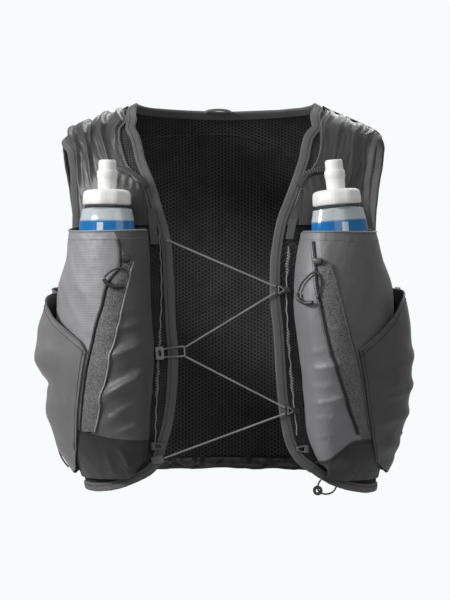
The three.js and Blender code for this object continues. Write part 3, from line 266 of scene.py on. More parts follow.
# %% Layers
MESH_WALL, CLOTH_WALL = 1.4, 1.2
LAYER_GAP = 0.6
BINDING_WIDTH, BINDING_THICKNESS, BINDING_SINK = 9, 3.6, 0.5
FLASK_WIDTH, FLASK_DEPTH, FLASK_EASE = 60, 42, 2
YOKE_TOP = MESH_WALL + LAYER_GAP + CLOTH_WALL
STRAP_TOP = YOKE_TOP + LAYER_GAP + CLOTH_WALL
CLOTH_TOP = YOKE_TOP
POCKET_SEAT = CLOTH_TOP - 0.75 * CLOTH_WALL
BINDING_TOP = BINDING_THICKNESS - BINDING_SINK
OVER_BINDING = BINDING_TOP + LAYER_GAP
FLASK_BACK = STRAP_TOP + FLASK_EASE
POCKET_SWELL = FLASK_BACK + FLASK_DEPTH + FLASK_EASE - POCKET_SEAT
POCKET_RISE = np.array([
    (0.26, 1.06), (0.36, 1.04), (0.45, 1), (0.6, 0.93), (0.68, 0.86), (0.78, 0.72),
    (0.86, 0.5), (0.92, 0.25), (0.96, 0.03)])
FLASK_TURN = {"right": 0.2, "left": 0.192}
INNER_FULLNESS, OUTER_FULLNESS = 0.34, 0.7
POCKET_CREASES = {
    "right": [((0.13, 0.6), (0.19, 0.66), 0.022, 0.7), ((0.13, 0.68), (0.2, 0.76), 0.022, 1),
              ((0.14, 0.84), (0.2, 0.83), 0.02, 0.6)],
    "left": [((0.14, 0.66), (0.2, 0.63), 0.02, 0.6), ((0.145, 0.74), (0.21, 0.72), 0.02, 0.6),
             ((0.17, 0.86), (0.25, 0.9), 0.02, 0.6)],
}
CREASE_DEPTH = 3.5


def ridges(rows, turn, drop, fade, round_ends=False):
    """Soft ridges, each from one place on the cloth to another. fade(along) shapes each run."""
    total = 0
    for start, end, width, height in rows:
        run, t, d = np.subtract(end, start), turn - start[0], drop - start[1]
        along, off = (t * run[0] + d * run[1]) / (run @ run), (t * run[1] - d * run[0]) / np.hypot(*run)
        if round_ends:
            along = np.clip(along, 0, 1)
            off = np.hypot(t - along * run[0], d - along * run[1])
        total = total + height * np.exp(-(off / width) ** 2) * fade(along)
    return total


def pocket_face(side, turn, drop):
    middle = FLASK_TURN[side]
    inner, outer = turn_at(POCKET_INNER[side], drop), turn_at(POCKET_OUTER[side], drop)
    edge = np.where(turn < middle, inner, outer)
    away = np.clip(np.abs((turn - middle) / (edge - middle)), 0, 1)
    fullness = np.where(turn < middle, INNER_FULLNESS, OUTER_FULLNESS)
    rise = smooth(POCKET_RISE[:, 0], POCKET_RISE[:, 1], drop)
    return POCKET_SWELL * rise * np.maximum(1 - away ** 2, 0) ** fullness


def pocket_point(side, turn, drop):
    ridge = CREASE_DEPTH * ridges(POCKET_CREASES[side], turn, drop, lambda a: 1 - ease(0.5, 1, a), True)
    lift = mix(POCKET_SEAT, CLOTH_TOP, ease(0.82, 0.9, drop))
    return cloth(side, turn, drop, lift, pocket_face(side, turn, drop) + ridge)


def on_surface(surface, side, turn, drop, stand, step=1.2e-3):
    """A point off a surface given by places, and the direction out of it."""
    turn, drop = np.asarray(turn, float), np.asarray(drop, float)
    across = surface(side, turn + step, drop) - surface(side, turn - step, drop)
    down = surface(side, turn, drop + step) - surface(side, turn, drop - step)
    normal = SIGN[side] * unit(np.cross(down, across))
    return surface(side, turn, drop) + stand * normal, normal


def on_pocket(side, turn, drop, stand):
    return on_surface(pocket_point, side, turn, drop, np.asarray(stand, float)[..., None], 2e-3)[0]


print("a pocket stands off by, mm:", round(POCKET_SWELL, 1))

# %% [markdown]
# The photograph was taken level, from straight ahead and from well back. A long lens at
# 2.35 m gives the same flat view of the front.

# %% Camera
CAMERA_PLACE = (-0.0005, -2.35, -0.19)
LENS = 132
camera_data = bpy.data.cameras.new("camera")
camera_data.lens, camera_data.sensor_width = LENS, 36
camera = bpy.data.objects.new("camera", camera_data)
camera.location = CAMERA_PLACE
camera.rotation_euler = (math.pi / 2, 0, 0)
bpy.context.collection.objects.link(camera)
bpy.context.scene.camera = camera
print("lens:", LENS, "mm")

# %% [markdown]
# Two builders do most of the work. `cloth_piece` turns a grid of points into a closed
# cloth with a wall and a UV map in metres of cloth, so a weave keeps its size.
# `tube` sweeps a round cord along points, with a frame that is carried along the path
# and never twists.

# %% Mesh builders
def turned_out(points, faces):
    """Faces in the order that gives a closed mesh a volume above zero."""
    volume = 0
    for count in {len(face) for face in faces}:
        corners = points[np.array([face for face in faces if len(face) == count])]
        for i in range(1, count - 1):
            volume += np.einsum("ij,ij", corners[:, 0], np.cross(corners[:, i], corners[:, i + 1]))
    return faces if volume > 0 else [face[::-1] for face in faces]


def solid_object(name, points, faces, uv, material, sharp=50):
    """A closed mesh that stands for the solid of the same name, where there is one."""
    mesh = bpy.data.meshes.new(name)
    mesh.from_pydata((points * MM).tolist(), [], turned_out(points, faces))
    layer = mesh.uv_layers.new(name="cloth")
    loops = np.empty(len(mesh.loops), int)
    mesh.loops.foreach_get("vertex_index", loops)
    layer.data.foreach_set("uv", (uv[loops] * MM).ravel())
    mesh.shade_smooth()
    mesh.set_sharp_from_angle(angle=math.radians(sharp))
    mesh.materials.append(material)
    obj = bpy.data.objects.new(name, mesh)
    bpy.context.collection.objects.link(obj)
    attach(obj, "root")
    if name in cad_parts:
        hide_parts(name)
    return obj


def grid_normals(grid):
    down, across = np.gradient(grid, axis=0), np.gradient(grid, axis=1)
    normal = unit(np.cross(down, across))
    middle = tuple(n // 2 for n in grid.shape[:2])
    return normal if normal[middle] @ (grid[middle] * (1, 1, 0)) > 0 else -normal


def declare_sheet(obj, grid):
    """Prints the flat size of a cloth's own surface, measured along its rows and columns."""
    across = np.linalg.norm(np.diff(grid, axis=1), axis=2).sum(1)
    down = np.linalg.norm(np.diff(grid, axis=0), axis=2).sum(0)
    a, b = grid[1:, 1:] - grid[:-1, :-1], grid[1:, :-1] - grid[:-1, 1:]
    area = 0.5 * np.linalg.norm(np.cross(a, b), axis=2).sum()
    width, length = float(across.max()), float(down.max())
    area = min(float(area), width * length)
    print(f"{obj.name} cut, mm: {width:.0f} by {length:.0f}, {area / 100:.0f} square cm")


def cloth_piece(name, grid, wall, material, held="laid"):
    """A grid of points as cloth with a wall. With held=None its flat size is not printed."""
    rows, columns = grid.shape[:2]
    points = np.concatenate([grid, grid - wall * grid_normals(grid)]).reshape(-1, 3)
    index = np.arange(rows * columns).reshape(rows, columns)
    quads = np.stack([index[:-1, :-1], index[:-1, 1:], index[1:, 1:], index[1:, :-1]], -1).reshape(-1, 4)
    rim = np.concatenate([index[0, :-1], index[:-1, -1], index[-1, :0:-1], index[:0:-1, 0]])
    after = np.roll(rim, -1)
    sides = np.stack([after, rim, rim + index.size, after + index.size], -1)
    faces = np.concatenate([quads, quads[:, ::-1] + index.size, sides]).tolist()
    run = np.pad(np.cumsum(np.linalg.norm(np.diff(grid, axis=1), axis=2), axis=1), ((0, 0), (1, 0)))
    run -= run[:, columns // 2][:, None]
    fall = np.broadcast_to(-lengths_along(grid[:, columns // 2])[:, None], run.shape)
    flat = np.stack([run, fall], -1).reshape(-1, 2)
    obj = solid_object(name, points, faces, np.concatenate([flat, flat]), material)
    if held:
        declare_sheet(obj, grid)
    return obj


def carried_frames(path):
    """Tangents, and a pair of directions across the path that don't twist."""
    tangent = unit(np.gradient(path, axis=0))
    aside = np.empty_like(path)
    aside[0] = unit(np.cross(tangent[0], (0.3, 0.2, 1)))
    for i in range(1, len(path)):
        aside[i] = unit(aside[i - 1] - (aside[i - 1] @ tangent[i]) * tangent[i])
    return tangent, aside, np.cross(tangent, aside)


def spline(points, count):
    """Smooth path through a few points, as even steps."""
    points = np.asarray(points, float)
    padded = np.concatenate([[2 * points[0] - points[1]], points, [2 * points[-1] - points[-2]]])
    fine = []
    for i in range(len(points) - 1):
        t = np.linspace(0, 1, 24, endpoint=i == len(points) - 2)[:, None]
        a, b, c, d = padded[i:i + 4]
        fine.append(0.5 * (2 * b + (c - a) * t + (2 * a - 5 * b + 4 * c - d) * t ** 2
                           + (3 * b - a - 3 * c + d) * t ** 3))
    fine = np.concatenate(fine)
    length = lengths_along(fine)
    at = np.linspace(0, length[-1], count)
    return np.stack([np.interp(at, length, fine[:, k]) for k in range(3)], -1)


def skin(rings, sides, closed=False, lids=True):
    """Faces between rings of points, each joined to the next, with a lid on each open end."""
    index = np.arange(rings * sides).reshape(rings, sides)
    last = rings if closed else rings - 1
    a, b = index[:last], np.roll(index, -1, 0)[:last]
    faces = np.stack([a, np.roll(a, -1, 1), np.roll(b, -1, 1), b], -1).reshape(-1, 4).tolist()
    return faces + [index[0][::-1].tolist(), index[-1].tolist()] if lids and not closed else faces


def swept(name, path, section, material, closed=False, frames=None, sharp=50):
    """A section of (n, 2) or (steps, n, 2) points, swept along a path."""
    _, aside, up = frames or carried_frames(path)
    section = np.broadcast_to(section, (len(path),) + np.shape(section)[-2:])
    rings = path[:, None] + section[..., :1] * aside[:, None] + section[..., 1:] * up[:, None]
    steps, sides = section.shape[:2]
    around = np.linspace(0, 1, sides, endpoint=False) * np.abs(section[0]).max() * 2 * math.pi
    uv = np.stack(np.broadcast_arrays(around[None], lengths_along(path)[:, None]), -1).reshape(-1, 2)
    return solid_object(name, rings.reshape(-1, 3), skin(steps, sides, closed), uv, material, sharp)


def circle(radius, sides):
    angle = np.linspace(0, 2 * math.pi, sides, endpoint=False)
    return np.stack([radius * np.cos(angle), radius * np.sin(angle)], -1)


def tube(name, path, diameter, material, sides=12, closed=False):
    return swept(name, path, circle(diameter / 2, sides), material, closed, sharp=70)


def paint(obj, **layers):
    """Numbers on a mesh's points, for its material to read."""
    for label, values in layers.items():
        layer = obj.data.attributes.new(label, "FLOAT", "POINT")
        layer.data.foreach_set("value", np.ascontiguousarray(values, np.float32).ravel())


print("builders ready")

# %% [markdown]
# Finishes. What several cloths share is built once as a shader group: crossed threads,
# the open holes of spacer mesh, the thicker grid of ripstop, and slow changes of tone.
# Each group reads the piece's own UV map, which is in metres of cloth.

# %% Shader helpers
FLOAT, VECTOR = "NodeSocketFloat", "NodeSocketVector"


def wire(tree, made, inputs):
    """Gives each input of a node a value, or links it from a socket."""
    for label, value in dict(inputs).items():
        if isinstance(value, bpy.types.NodeSocket):
            tree.links.new(value, made.inputs[label])
        else:
            made.inputs[label].default_value = value
    return made.outputs


def node(tree, kind, inputs=(), **settings):
    """The outputs of a new node."""
    made = tree.nodes.new(kind)
    for label, value in settings.items():
        setattr(made, label, value)
    return wire(tree, made, inputs)


def maths_of(tree):
    """Short form for the maths nodes of a tree."""
    return lambda operation, *values: node(
        tree, "ShaderNodeMath", enumerate(values), operation=operation)[0]


def blend(tree, factor, a, b):
    return node(tree, "ShaderNodeMix", {0: factor, 6: a, 7: b}, data_type="RGBA")[2]


def ranged(tree, value, low, high, **settings):
    return node(tree, "ShaderNodeMapRange", {"Value": value, "From Min": low, "From Max": high},
                **settings)[0]


def group(name, inputs, outputs, kind="ShaderNodeTree"):
    """A node group. Its inputs are rows of a label, a kind and perhaps a value."""
    tree = bpy.data.node_groups.new(name, kind)
    for label, socket_type, *value in inputs:
        socket = tree.interface.new_socket(name=label, in_out="INPUT", socket_type=socket_type)
        if value:
            socket.default_value = value[0]
    for label, socket_type in outputs:
        tree.interface.new_socket(name=label, in_out="OUTPUT", socket_type=socket_type)
    return tree, tree.nodes.new("NodeGroupInput").outputs, tree.nodes.new("NodeGroupOutput")


def grouped(tree, made, vector, **values):
    return node(tree, "ShaderNodeGroup", {0: vector, **values}, node_tree=made)


# %% Pattern groups
def make_threads():
    """Plain weave: warp and weft rise over each other in turn."""
    tree, put, out = group("threads", [("Cloth", VECTOR), ("Pitch", FLOAT, 0.0006)], [("Height", FLOAT)])
    maths = maths_of(tree)
    axes = node(tree, "ShaderNodeSeparateXYZ", {0: put["Cloth"]})
    warp, weft = (maths("SINE", maths("MULTIPLY", maths("DIVIDE", axes[i], put["Pitch"]), math.pi))
                  for i in (0, 1))
    over = maths("GREATER_THAN", maths("MULTIPLY", warp, weft), 0.0)
    wire(tree, out, {"Height": maths(
        "ADD", maths("MULTIPLY", maths("ABSOLUTE", warp), over),
        maths("MULTIPLY", maths("ABSOLUTE", weft), maths("SUBTRACT", 1.0, over)))})
    return tree


def make_holes():
    """Dots on a three-way lattice, as the open cells of spacer mesh."""
    tree, put, out = group("spacer holes", [("Cloth", VECTOR), ("Pitch", FLOAT, 0.003)],
                           [("Hole", FLOAT), ("Height", FLOAT)])
    maths = maths_of(tree)
    axes = node(tree, "ShaderNodeSeparateXYZ", {0: put["Cloth"]})
    waves = 0.0
    for angle in np.radians((0, 60, 120)):
        along = maths("ADD", maths("MULTIPLY", axes[0], math.cos(angle)),
                      maths("MULTIPLY", axes[1], math.sin(angle)))
        turn = maths("MULTIPLY", maths("DIVIDE", along, put["Pitch"]), 2 * math.pi)
        waves = maths("ADD", waves, maths("COSINE", turn))
    hole = ranged(tree, waves, -0.3, 0.5, interpolation_type="SMOOTHSTEP")
    wire(tree, out, {"Hole": hole, "Height": maths("SUBTRACT", 1.0, hole)})
    return tree


def make_ripstop():
    """A square grid of thicker threads."""
    tree, put, out = group("ripstop grid", [("Cloth", VECTOR), ("Pitch", FLOAT, 0.0026),
                                            ("Width", FLOAT, 0.2)], [("Line", FLOAT)])
    maths = maths_of(tree)
    axes = node(tree, "ShaderNodeSeparateXYZ", {0: put["Cloth"]})
    lines = []
    for i in (0, 1):
        cell = maths("FRACT", maths("DIVIDE", axes[i], put["Pitch"]))
        off = maths("ABSOLUTE", maths("SUBTRACT", cell, 0.5))
        lines.append(maths("LESS_THAN", off, maths("MULTIPLY", put["Width"], 0.5)))
    wire(tree, out, {"Line": maths("MAXIMUM", *lines)})
    return tree


def make_tone():
    """Slow mottling and fine specks, for dye and fibre."""
    tree, put, out = group("cloth tone", [("Place", VECTOR), ("Size", FLOAT, 40.0),
                                          ("Speck", FLOAT, 900.0), ("Share", FLOAT, 0.5)], [("Tone", FLOAT)])
    maths = maths_of(tree)
    slow, fine = (node(tree, "ShaderNodeTexNoise",
                       {"Detail": 3, "Vector": put["Place"], "Scale": put[scale]})[0]
                  for scale in ("Size", "Speck"))
    rest = maths("SUBTRACT", 1.0, put["Share"])
    wire(tree, out, {"Tone": maths(
        "ADD", maths("MULTIPLY", slow, rest), maths("MULTIPLY", fine, put["Share"]))})
    return tree


THREADS, HOLES, RIPSTOP, TONE = make_threads(), make_holes(), make_ripstop(), make_tone()
print("shader groups:", [g.name for g in (THREADS, HOLES, RIPSTOP, TONE)])

# %% Materials
RELIEF_DEPTH = 0.0004


def rgba(tone, share=1.0):
    """A colour with its alpha. A plain number is a grey."""
    return (*(share * c for c in (tone if isinstance(tone, tuple) else (tone,) * 3)), 1)


def cool(tone):
    return (tone, tone, 1.05 * tone)


def new_material(name):
    material = bpy.data.materials.new(name)
    material.use_nodes = True
    tree = material.node_tree
    return material, tree, tree.nodes["Principled BSDF"], maths_of(tree)


def finish(name, dark, light, roughness=0.8, pattern=None, pitch=0.0006, bump=0.15,
           lines=0.0, speck=900.0, share_of_speck=0.5, sheen=0.0, coat=0.0, spread=(0.3, 0.7)):
    """A cloth or moulded finish between two colours, with its weave in bump and tone."""
    material, tree, shader, maths = new_material(name)
    uv = node(tree, "ShaderNodeUVMap", uv_map="cloth")[0]
    where = node(tree, "ShaderNodeTexCoord")["Object"]
    tone = grouped(tree, TONE, where, Speck=speck, Share=share_of_speck)[0]
    colour, height = blend(tree, ranged(tree, tone, *spread), rgba(dark), rgba(light)), tone
    if pattern == "holes":
        made = grouped(tree, HOLES, uv, Pitch=pitch)
        colour, height = blend(tree, made["Hole"], colour, rgba(dark, 0.03)), made["Height"]
    elif pattern == "threads":
        height = grouped(tree, THREADS, uv, Pitch=pitch)[0]
    if lines:
        grid = grouped(tree, RIPSTOP, uv)[0]
        colour = blend(tree, maths("MULTIPLY", grid, lines), colour, rgba(light, 2.2))
        height = maths("ADD", height, grid)
    values = {"Base Color": colour, "Roughness": maths("ADD", maths("MULTIPLY", tone, 0.2), roughness - 0.1),
              "Sheen Weight": sheen, "Sheen Roughness": 0.4, "Coat Weight": coat}
    if bump:
        values["Normal"] = node(tree, "ShaderNodeBump", {
            "Strength": bump, "Distance": RELIEF_DEPTH, "Height": height})[0]
    wire(tree, shader, values)
    return material


MESH_BLACK = finish("spacer mesh", 0.016, 0.055, 0.75, "holes", 0.0037, 0.9, spread=(0.35, 0.6))
STRIP_MESH = finish("strip mesh", 0.016, 0.05, 0.8, "holes", 0.0028, 0.8, spread=(0.4, 0.6))
BINDING_GREY = finish("binding tape", 0.082, 0.124, 0.75, "threads", 0.0009, 0.3, sheen=0.2)
YOKE_GREY = finish("shoulder cloth", 0.036, 0.056, 0.42, "threads", 0.0006, 0.12, sheen=0.3)
LOW_CLOTH = finish("back hem cloth", 0.025, 0.045, 0.3, "threads", 0.0006, 0.1, sheen=0.2)
SIDE_GREY = finish("side pocket knit", 0.06, 0.085, 0.5, "threads", 0.0008, 0.12, sheen=0.35)
# The side pocket knit made lighter for the wearer's right pocket, which faces the key light: painted light.
SIDE_PAINTED_LIGHT = finish("side pocket knit with painted light", 0.125, 0.17, 0.5, "threads", 0.0008, 0.12, sheen=0.35)
TAPE_GREY = finish("knitted tape", 0.045, 0.2, 0.8, bump=0.8, speck=800.0, share_of_speck=0.9,
                   spread=(0.36, 0.64))
PIPING = finish("piping", 0.26, 0.4, 0.6, "threads", 0.0007, 0.3)
PIPING_DARK = finish("dark piping", 0.05, 0.08, 0.6, "threads", 0.0007, 0.3)
COIL_BLACK = finish("coil", 0.012, 0.02, 0.4, bump=0.2)
CORD_GREY = finish("braided cord", 0.16, 0.3, 0.6, "threads", 0.0009, 0.6)
CORD_DARK = finish("dark braided cord", 0.03, 0.06, 0.6, "threads", 0.0009, 0.6)
CORD_LIGHT = finish("rail cord", 0.2, 0.4, 0.6, "threads", 0.0009, 0.6)
MOULDED = finish("moulded dark", 0.02, 0.032, 0.4, bump=0.1, coat=0.1)
MOULDED_GREY = finish("moulded grey", 0.25, 0.32, 0.45, bump=0.1)
MOULDED_DIM = finish("moulded dim", 0.1, 0.15, 0.5, bump=0.1)
THREAD = finish("thread", 0.16, 0.3, 0.6, bump=0.2)
THREAD_DARK = finish("dark thread", 0.02, 0.04, 0.6, bump=0.2)
CAP_WHITE = finish("cap", (0.78, 0.775, 0.76), (0.85, 0.845, 0.83), 0.42, bump=0.05)
VALVE_WHITE = finish("bite valve", (0.8, 0.795, 0.78), (0.86, 0.855, 0.84), 0.5, bump=0.03)
print("materials:", len(bpy.data.materials))

# %% [markdown]
# The lace is one elastic cord that crosses the chest four times, pulled straight. Each
# run is a cord of its own, from a tab or loop on the wearer's right to a hook on the
# left. Cords come before the cloth, because a cord that reaches too far would have to
# move in the solids as well.

# %% Lacing
LACE_DIAMETER = 1.9
SHORTEST_CORD = 30
LACE_RUNS = {
    "lace_run_1": ((0.0905, 0.325), (0.0775, 0.442)),
    "lace_run_2": ((0.0595, 0.594), (0.0775, 0.457)),
    "lace_run_3": ((0.0595, 0.618), (0.098, 0.748)),
    "lace_run_4": ((0.108, 0.877), (0.098, 0.763)),
}


def free_cord(name, path, diameter, material):
    """A cord of its own, with its length printed unless it is a short stub."""
    obj = tube(name, path, diameter, material)
    length = float(lengths_along(path)[-1])
    if length > SHORTEST_CORD:
        print(name, "length, mm:", round(length, 1))


for name, (right_end, left_end) in LACE_RUNS.items():
    lift = OVER_BINDING + LACE_DIAMETER
    ends = [cloth("right", *right_end, lift), cloth("left", *left_end, lift)]
    free_cord(name, np.linspace(*ends, 30), LACE_DIAMETER, CORD_GREY)

# %% Puller, pole and hem cords
PULLER_CORDS = {
    "right": [(0.187, 0.418), (0.174, 0.402), (0.159, 0.396), (0.152, 0.415), (0.155, 0.434)],
    "left": [(0.1195, 0.4545), (0.124, 0.43), (0.138, 0.406), (0.147, 0.43), (0.142, 0.474)],
}
GRIPS = {
    "right": [(0.187, 0.423), (0.182, 0.435), (0.172, 0.442), (0.158, 0.44)],
    "left": [(0.12, 0.458), (0.121, 0.474), (0.129, 0.483), (0.137, 0.481)],
}
OVER_TAPE, GRIP_DIAMETER, GRIP_WAIST, FINE_CORD, SEAT_GAP = 2.6, 4.6, 0.9, 1.8, 0.35
SIDE_SWELL, SIDE_END, SIDE_EASE = 27, 0.62, 0.4
SIDE_RISE = {
    "right": [(0.43, 0.5), (0.5, 0.78), (0.56, 1), (0.63, 0.95), (0.68, 0.68), (0.72, 0.58),
              (0.79, 0.66), (0.86, 0.7), (0.9, 0.44), (0.96, 0.05)],
    "left": [(0.43, 0.55), (0.5, 0.82), (0.56, 0.86), (0.63, 0.88), (0.68, 0.88), (0.72, 0.86),
             (0.79, 0.75), (0.86, 0.55), (0.9, 0.45), (0.96, 0.1)],
}
# Where each pole loop hangs: one turn, then drops with how far it stands off
POLE_TURN = 0.52
POLE_LOOPS = {
    "right": [(0.828, -0.6), (0.86, 1.6), (0.885, 4.6), (0.905, 6), (0.922, 4.6)],
    "left": [(0.848, -0.3), (0.875, 1.2), (0.895, 2.4), (0.91, 2.4), (0.92, 2)],
}


def side_point(side, turn, drop, stand=0.0):
    rise = table(SIDE_RISE[side], drop)
    bulge = (SIDE_SWELL * rise * ease(turn_at(SIDE_SEAM[side], drop), 0.46, turn)
             * (1 - ease(0.55, SIDE_END, turn)))
    base = np.where(np.asarray(turn) < 0.5, pocket_face(side, turn, drop), 0)
    return cloth(side, turn, drop, CLOTH_TOP, base + bulge + SIDE_EASE + CLOTH_WALL + stand)


for side in SIDES:
    for rows, label, wide, steps in ((PULLER_CORDS, "puller_cord", FINE_CORD, 60),
                                     (GRIPS, "puller_grip", GRIP_DIAMETER, 32)):
        turn, drop = np.array(rows[side]).T
        path = spline(on_pocket(side, turn, drop, wide / 2 + OVER_TAPE), steps)
        if rows is GRIPS:
            tube(f"{label}_{side}", path, wide * GRIP_WAIST, MOULDED, 16)
        else:
            free_cord(f"{label}_{side}", path, wide, CORD_DARK)
    route = [side_point(side, POLE_TURN, drop, FINE_CORD / 2 + SEAT_GAP + stand)
             for drop, stand in POLE_LOOPS[side]]
    free_cord(f"pole_cord_{side}", spline(route, 40), FINE_CORD, CORD_DARK)

DRAWCORD_START = cloth("left", 0.187, 0.9365, BINDING_TOP / 2)
DRAWCORD_ROUTE = [(0, 0, 0), (-2.5, -1, -4), (-3.4, -1, -9), (0, -1, -13.5), (7, -0.5, -14.6),
                  (13, 1, -12), (16.5, 2.4, -6.5)]
free_cord("drawcord_left", spline(DRAWCORD_START + np.array(DRAWCORD_ROUTE), 60), FINE_CORD, CORD_DARK)

# %% [markdown]
# The body is black spacer mesh. Its panels are Coons patches: four seam lines bound each
# panel and the cloth between them follows all four.

# %% Body mesh
EDGE_EASE, ARM_EASE, NECK_EASE = 0.001, 0.006, 0.001
SIDE_DROPS = (0.438, 0.55, 0.7, 0.85, 0.956)


def front_of(turn, drop):
    return np.minimum(turn, 0.5 - mix(0.0015, 0.0008, ease(0.04, 0.15, drop)))


for side in SIDES:
    arm = [(t - EDGE_EASE if t < 0.49 else t, d) for t, d in ARM_FRONT[side]]
    outer = seam(side, arm + [(0.5, d) for d in SIDE_DROPS[1:]])
    front = seam(side, [(t + EDGE_EASE, d) for t, d in FRONT_EDGE[side]])
    place = patch(seam(side, [FRONT_EDGE[side][0], ARM_FRONT[side][0]]),
                  seam(side, HEM_LINE[side] + HEM_BACK[:1]), front, outer)
    turn, drop = np.moveaxis(place(*grid_of(44, 150)), -1, 0)
    cloth_piece(f"front_mesh_{side}", cloth(side, front_of(turn, drop), drop, MESH_WALL), MESH_WALL,
                STRIP_MESH, "hung")


def both_sides(u, turn, drop, lift, swell=0.0):
    """Cloth across the whole back: the wearer's right for the first half of u."""
    return np.where(u[..., None] < 0.5, cloth("right", turn, drop, lift, swell),
                    cloth("left", turn, drop, lift, swell))


def back_grid(side_turn, raise_by, columns, rows):
    """A panel across the whole back. raise_by(away, drop) gives its lift and its swell."""
    arm = [(t + ARM_EASE, d) for t, d in (ARM_BACK[:4] if side_turn > 0.6 else ARM_BACK)]
    corner = (side_turn, float(table(HEM_BACK, side_turn)))
    neck = seam("left", [(t, d + NECK_EASE) for t, d in CREST[:1] + NECK_BACK])
    edge = seam("left", [tuple(neck(0.0)), CREST[1], *arm, *[(side_turn, d) for d in SIDE_DROPS[:-1]],
                         corner])
    low = seam("left", [corner] + [row for row in HEM_BACK if row[0] > side_turn])
    spine = seam("left", [tuple(neck(1.0)), (1, 0.2), (1, 0.5), (1, 0.8), tuple(low(1.0))])
    u, v = grid_of(columns, rows)
    away = np.abs(2 * u - 1)
    turn, drop = np.moveaxis(patch(neck, low, edge, spine)(1 - away, v), -1, 0)
    return both_sides(u, np.maximum(turn, 0.5008), drop, *raise_by(away, drop))


cloth_piece("back_mesh", back_grid(0.5, lambda away, drop: (MESH_WALL + 0 * away, 0 * away), 150, 120),
            MESH_WALL, MESH_BLACK, "hung")
print("mesh panels made")

# %% [markdown]
# The shoulder cloth is gathered: it is wider than the strap it covers, and folds run from
# the shoulder crest down towards the chest. Each fold is one row of a table, and fine
# wrinkles come from seeded noise.

# %% Shoulder cloth
def value_noise(x, y, seed):
    """Smooth seeded noise between -1 and 1."""
    lattice = np.random.default_rng(seed).uniform(-1, 1, (64, 64))
    i, j = np.floor(x).astype(int), np.floor(y).astype(int)
    s, t = ease(0, 1, x - i), ease(0, 1, y - j)
    pick = lambda a, b: lattice[(i + a) % 64, (j + b) % 64]
    return mix(mix(pick(0, 0), pick(1, 0), s), mix(pick(0, 1), pick(1, 1), s), t)


SHOULDER_FOLD = 3.2
YOKE_BOTTOM = {"inner": 0.286, "outer": 0.262}
# Across the shoulder, width, height, reach and lean of each fold
SHOULDER_FOLDS = [
    (0.1, 0.045, 0.9, 0.5, 0.02), (0.3, 0.05, 1.5, 0.62, 0.05), (0.47, 0.032, 1.0, 0.45, 0.1),
    (0.62, 0.05, 1.6, 0.75, 0.1), (0.78, 0.035, 1.0, 0.5, 0.08), (0.92, 0.04, 1.1, 0.85, 0.02)]
FOLD_STRENGTH = {"right": 1.2, "left": 0.4}
# Short gathers right at the crest: across the shoulder, and width
CREST_GATHERS = [(0.08, 0.024), (0.25, 0.022), (0.42, 0.026), (0.58, 0.022), (0.76, 0.024), (0.93, 0.02)]


def bell(off, width):
    return np.exp(-(off / width) ** 2)


def shoulder_folds(u, v):
    total = 0
    for across, width, height, reach, lean in SHOULDER_FOLDS:
        bend = across + lean * v + 0.035 * np.sin(8 * v + 23 * across)
        total = total + height * bell(u - bend, width) * (1 - ease(reach * 0.5, reach, v))
    for across, width in CREST_GATHERS:
        total = total + 0.5 * bell(u - across - 0.1 * v, width) * (1 - ease(0.1, 0.26, v))
    return total


def cut_at(side, rows, low):
    """The line down to a given drop, ending right on it."""
    return seam(side, [row for row in rows if row[1] < low - 0.01] + [(float(turn_at(rows, low)), low)])


for side in SIDES:
    u, v = grid_of(150, 120)
    a = cut_at(side, YOKE_EDGE[side], YOKE_BOTTOM["inner"])(v)
    b = cut_at(side, ARM_FRONT[side][:9], YOKE_BOTTOM["outer"])(v)
    turn, drop = np.moveaxis(mix(a, b, u[..., None]), -1, 0)
    wrinkle = 0.9 * value_noise(u * 9 + 3 * v, v * 5, 3) + 0.4 * value_noise(u * 24, v * 11 + 4 * u, 4)
    folds = ease(0, 0.1, u) * SHOULDER_FOLD * FOLD_STRENGTH[side] * shoulder_folds(u, v)
    lift = YOKE_TOP + folds + ease(0, 0.06, u) * (1 - ease(0.95, 1, u)) * wrinkle
    cloth_piece(f"shoulder_yoke_{side}", cloth(side, front_of(turn, drop), drop, lift), CLOTH_WALL,
                YOKE_GREY, "gathered")

# %% Elastic lip and strap pocket
LIP_WIDTH, LIP_THICKNESS, LIP_SHADOW, LIP_STEPS = 6, 2.4, 0.006, 90
STRAP_POCKET_INNER, STRAP_POCKET_OUTER = {"right": 0.131, "left": 0.12}, 0.235


def edge_frames(side, turn, drop, closed=False):
    """A seam's points, with the directions across the cloth, out of it and along it."""
    centre = cloth(side, turn, drop)
    along = unit(np.roll(centre, -1, 0) - np.roll(centre, 1, 0) if closed else np.gradient(centre, axis=0))
    across = unit(np.cross(along, form_normal(side, turn, drop)))
    return centre, across, np.cross(across, along), along


def rounded_section(width, low, high, count=5, start=0.4):
    """A folded tape in section: flat at its seam, round at its free edge."""
    reach = (high - low) / 2
    turn = np.linspace(-math.pi / 2, math.pi / 2, 2 * count + 1)
    nose = np.stack([width - reach + reach * np.cos(turn), (low + high) / 2 + reach * np.sin(turn)], -1)
    flat = np.linspace(start, width - reach, 5)[:-1]
    crown = 0.25 * np.sin(np.linspace(0, math.pi, 5)[:-1])
    under = np.stack([flat, np.full(4, low)], -1)
    over = np.stack([flat, high + crown], -1)[::-1]
    return np.concatenate([under, nose, over])


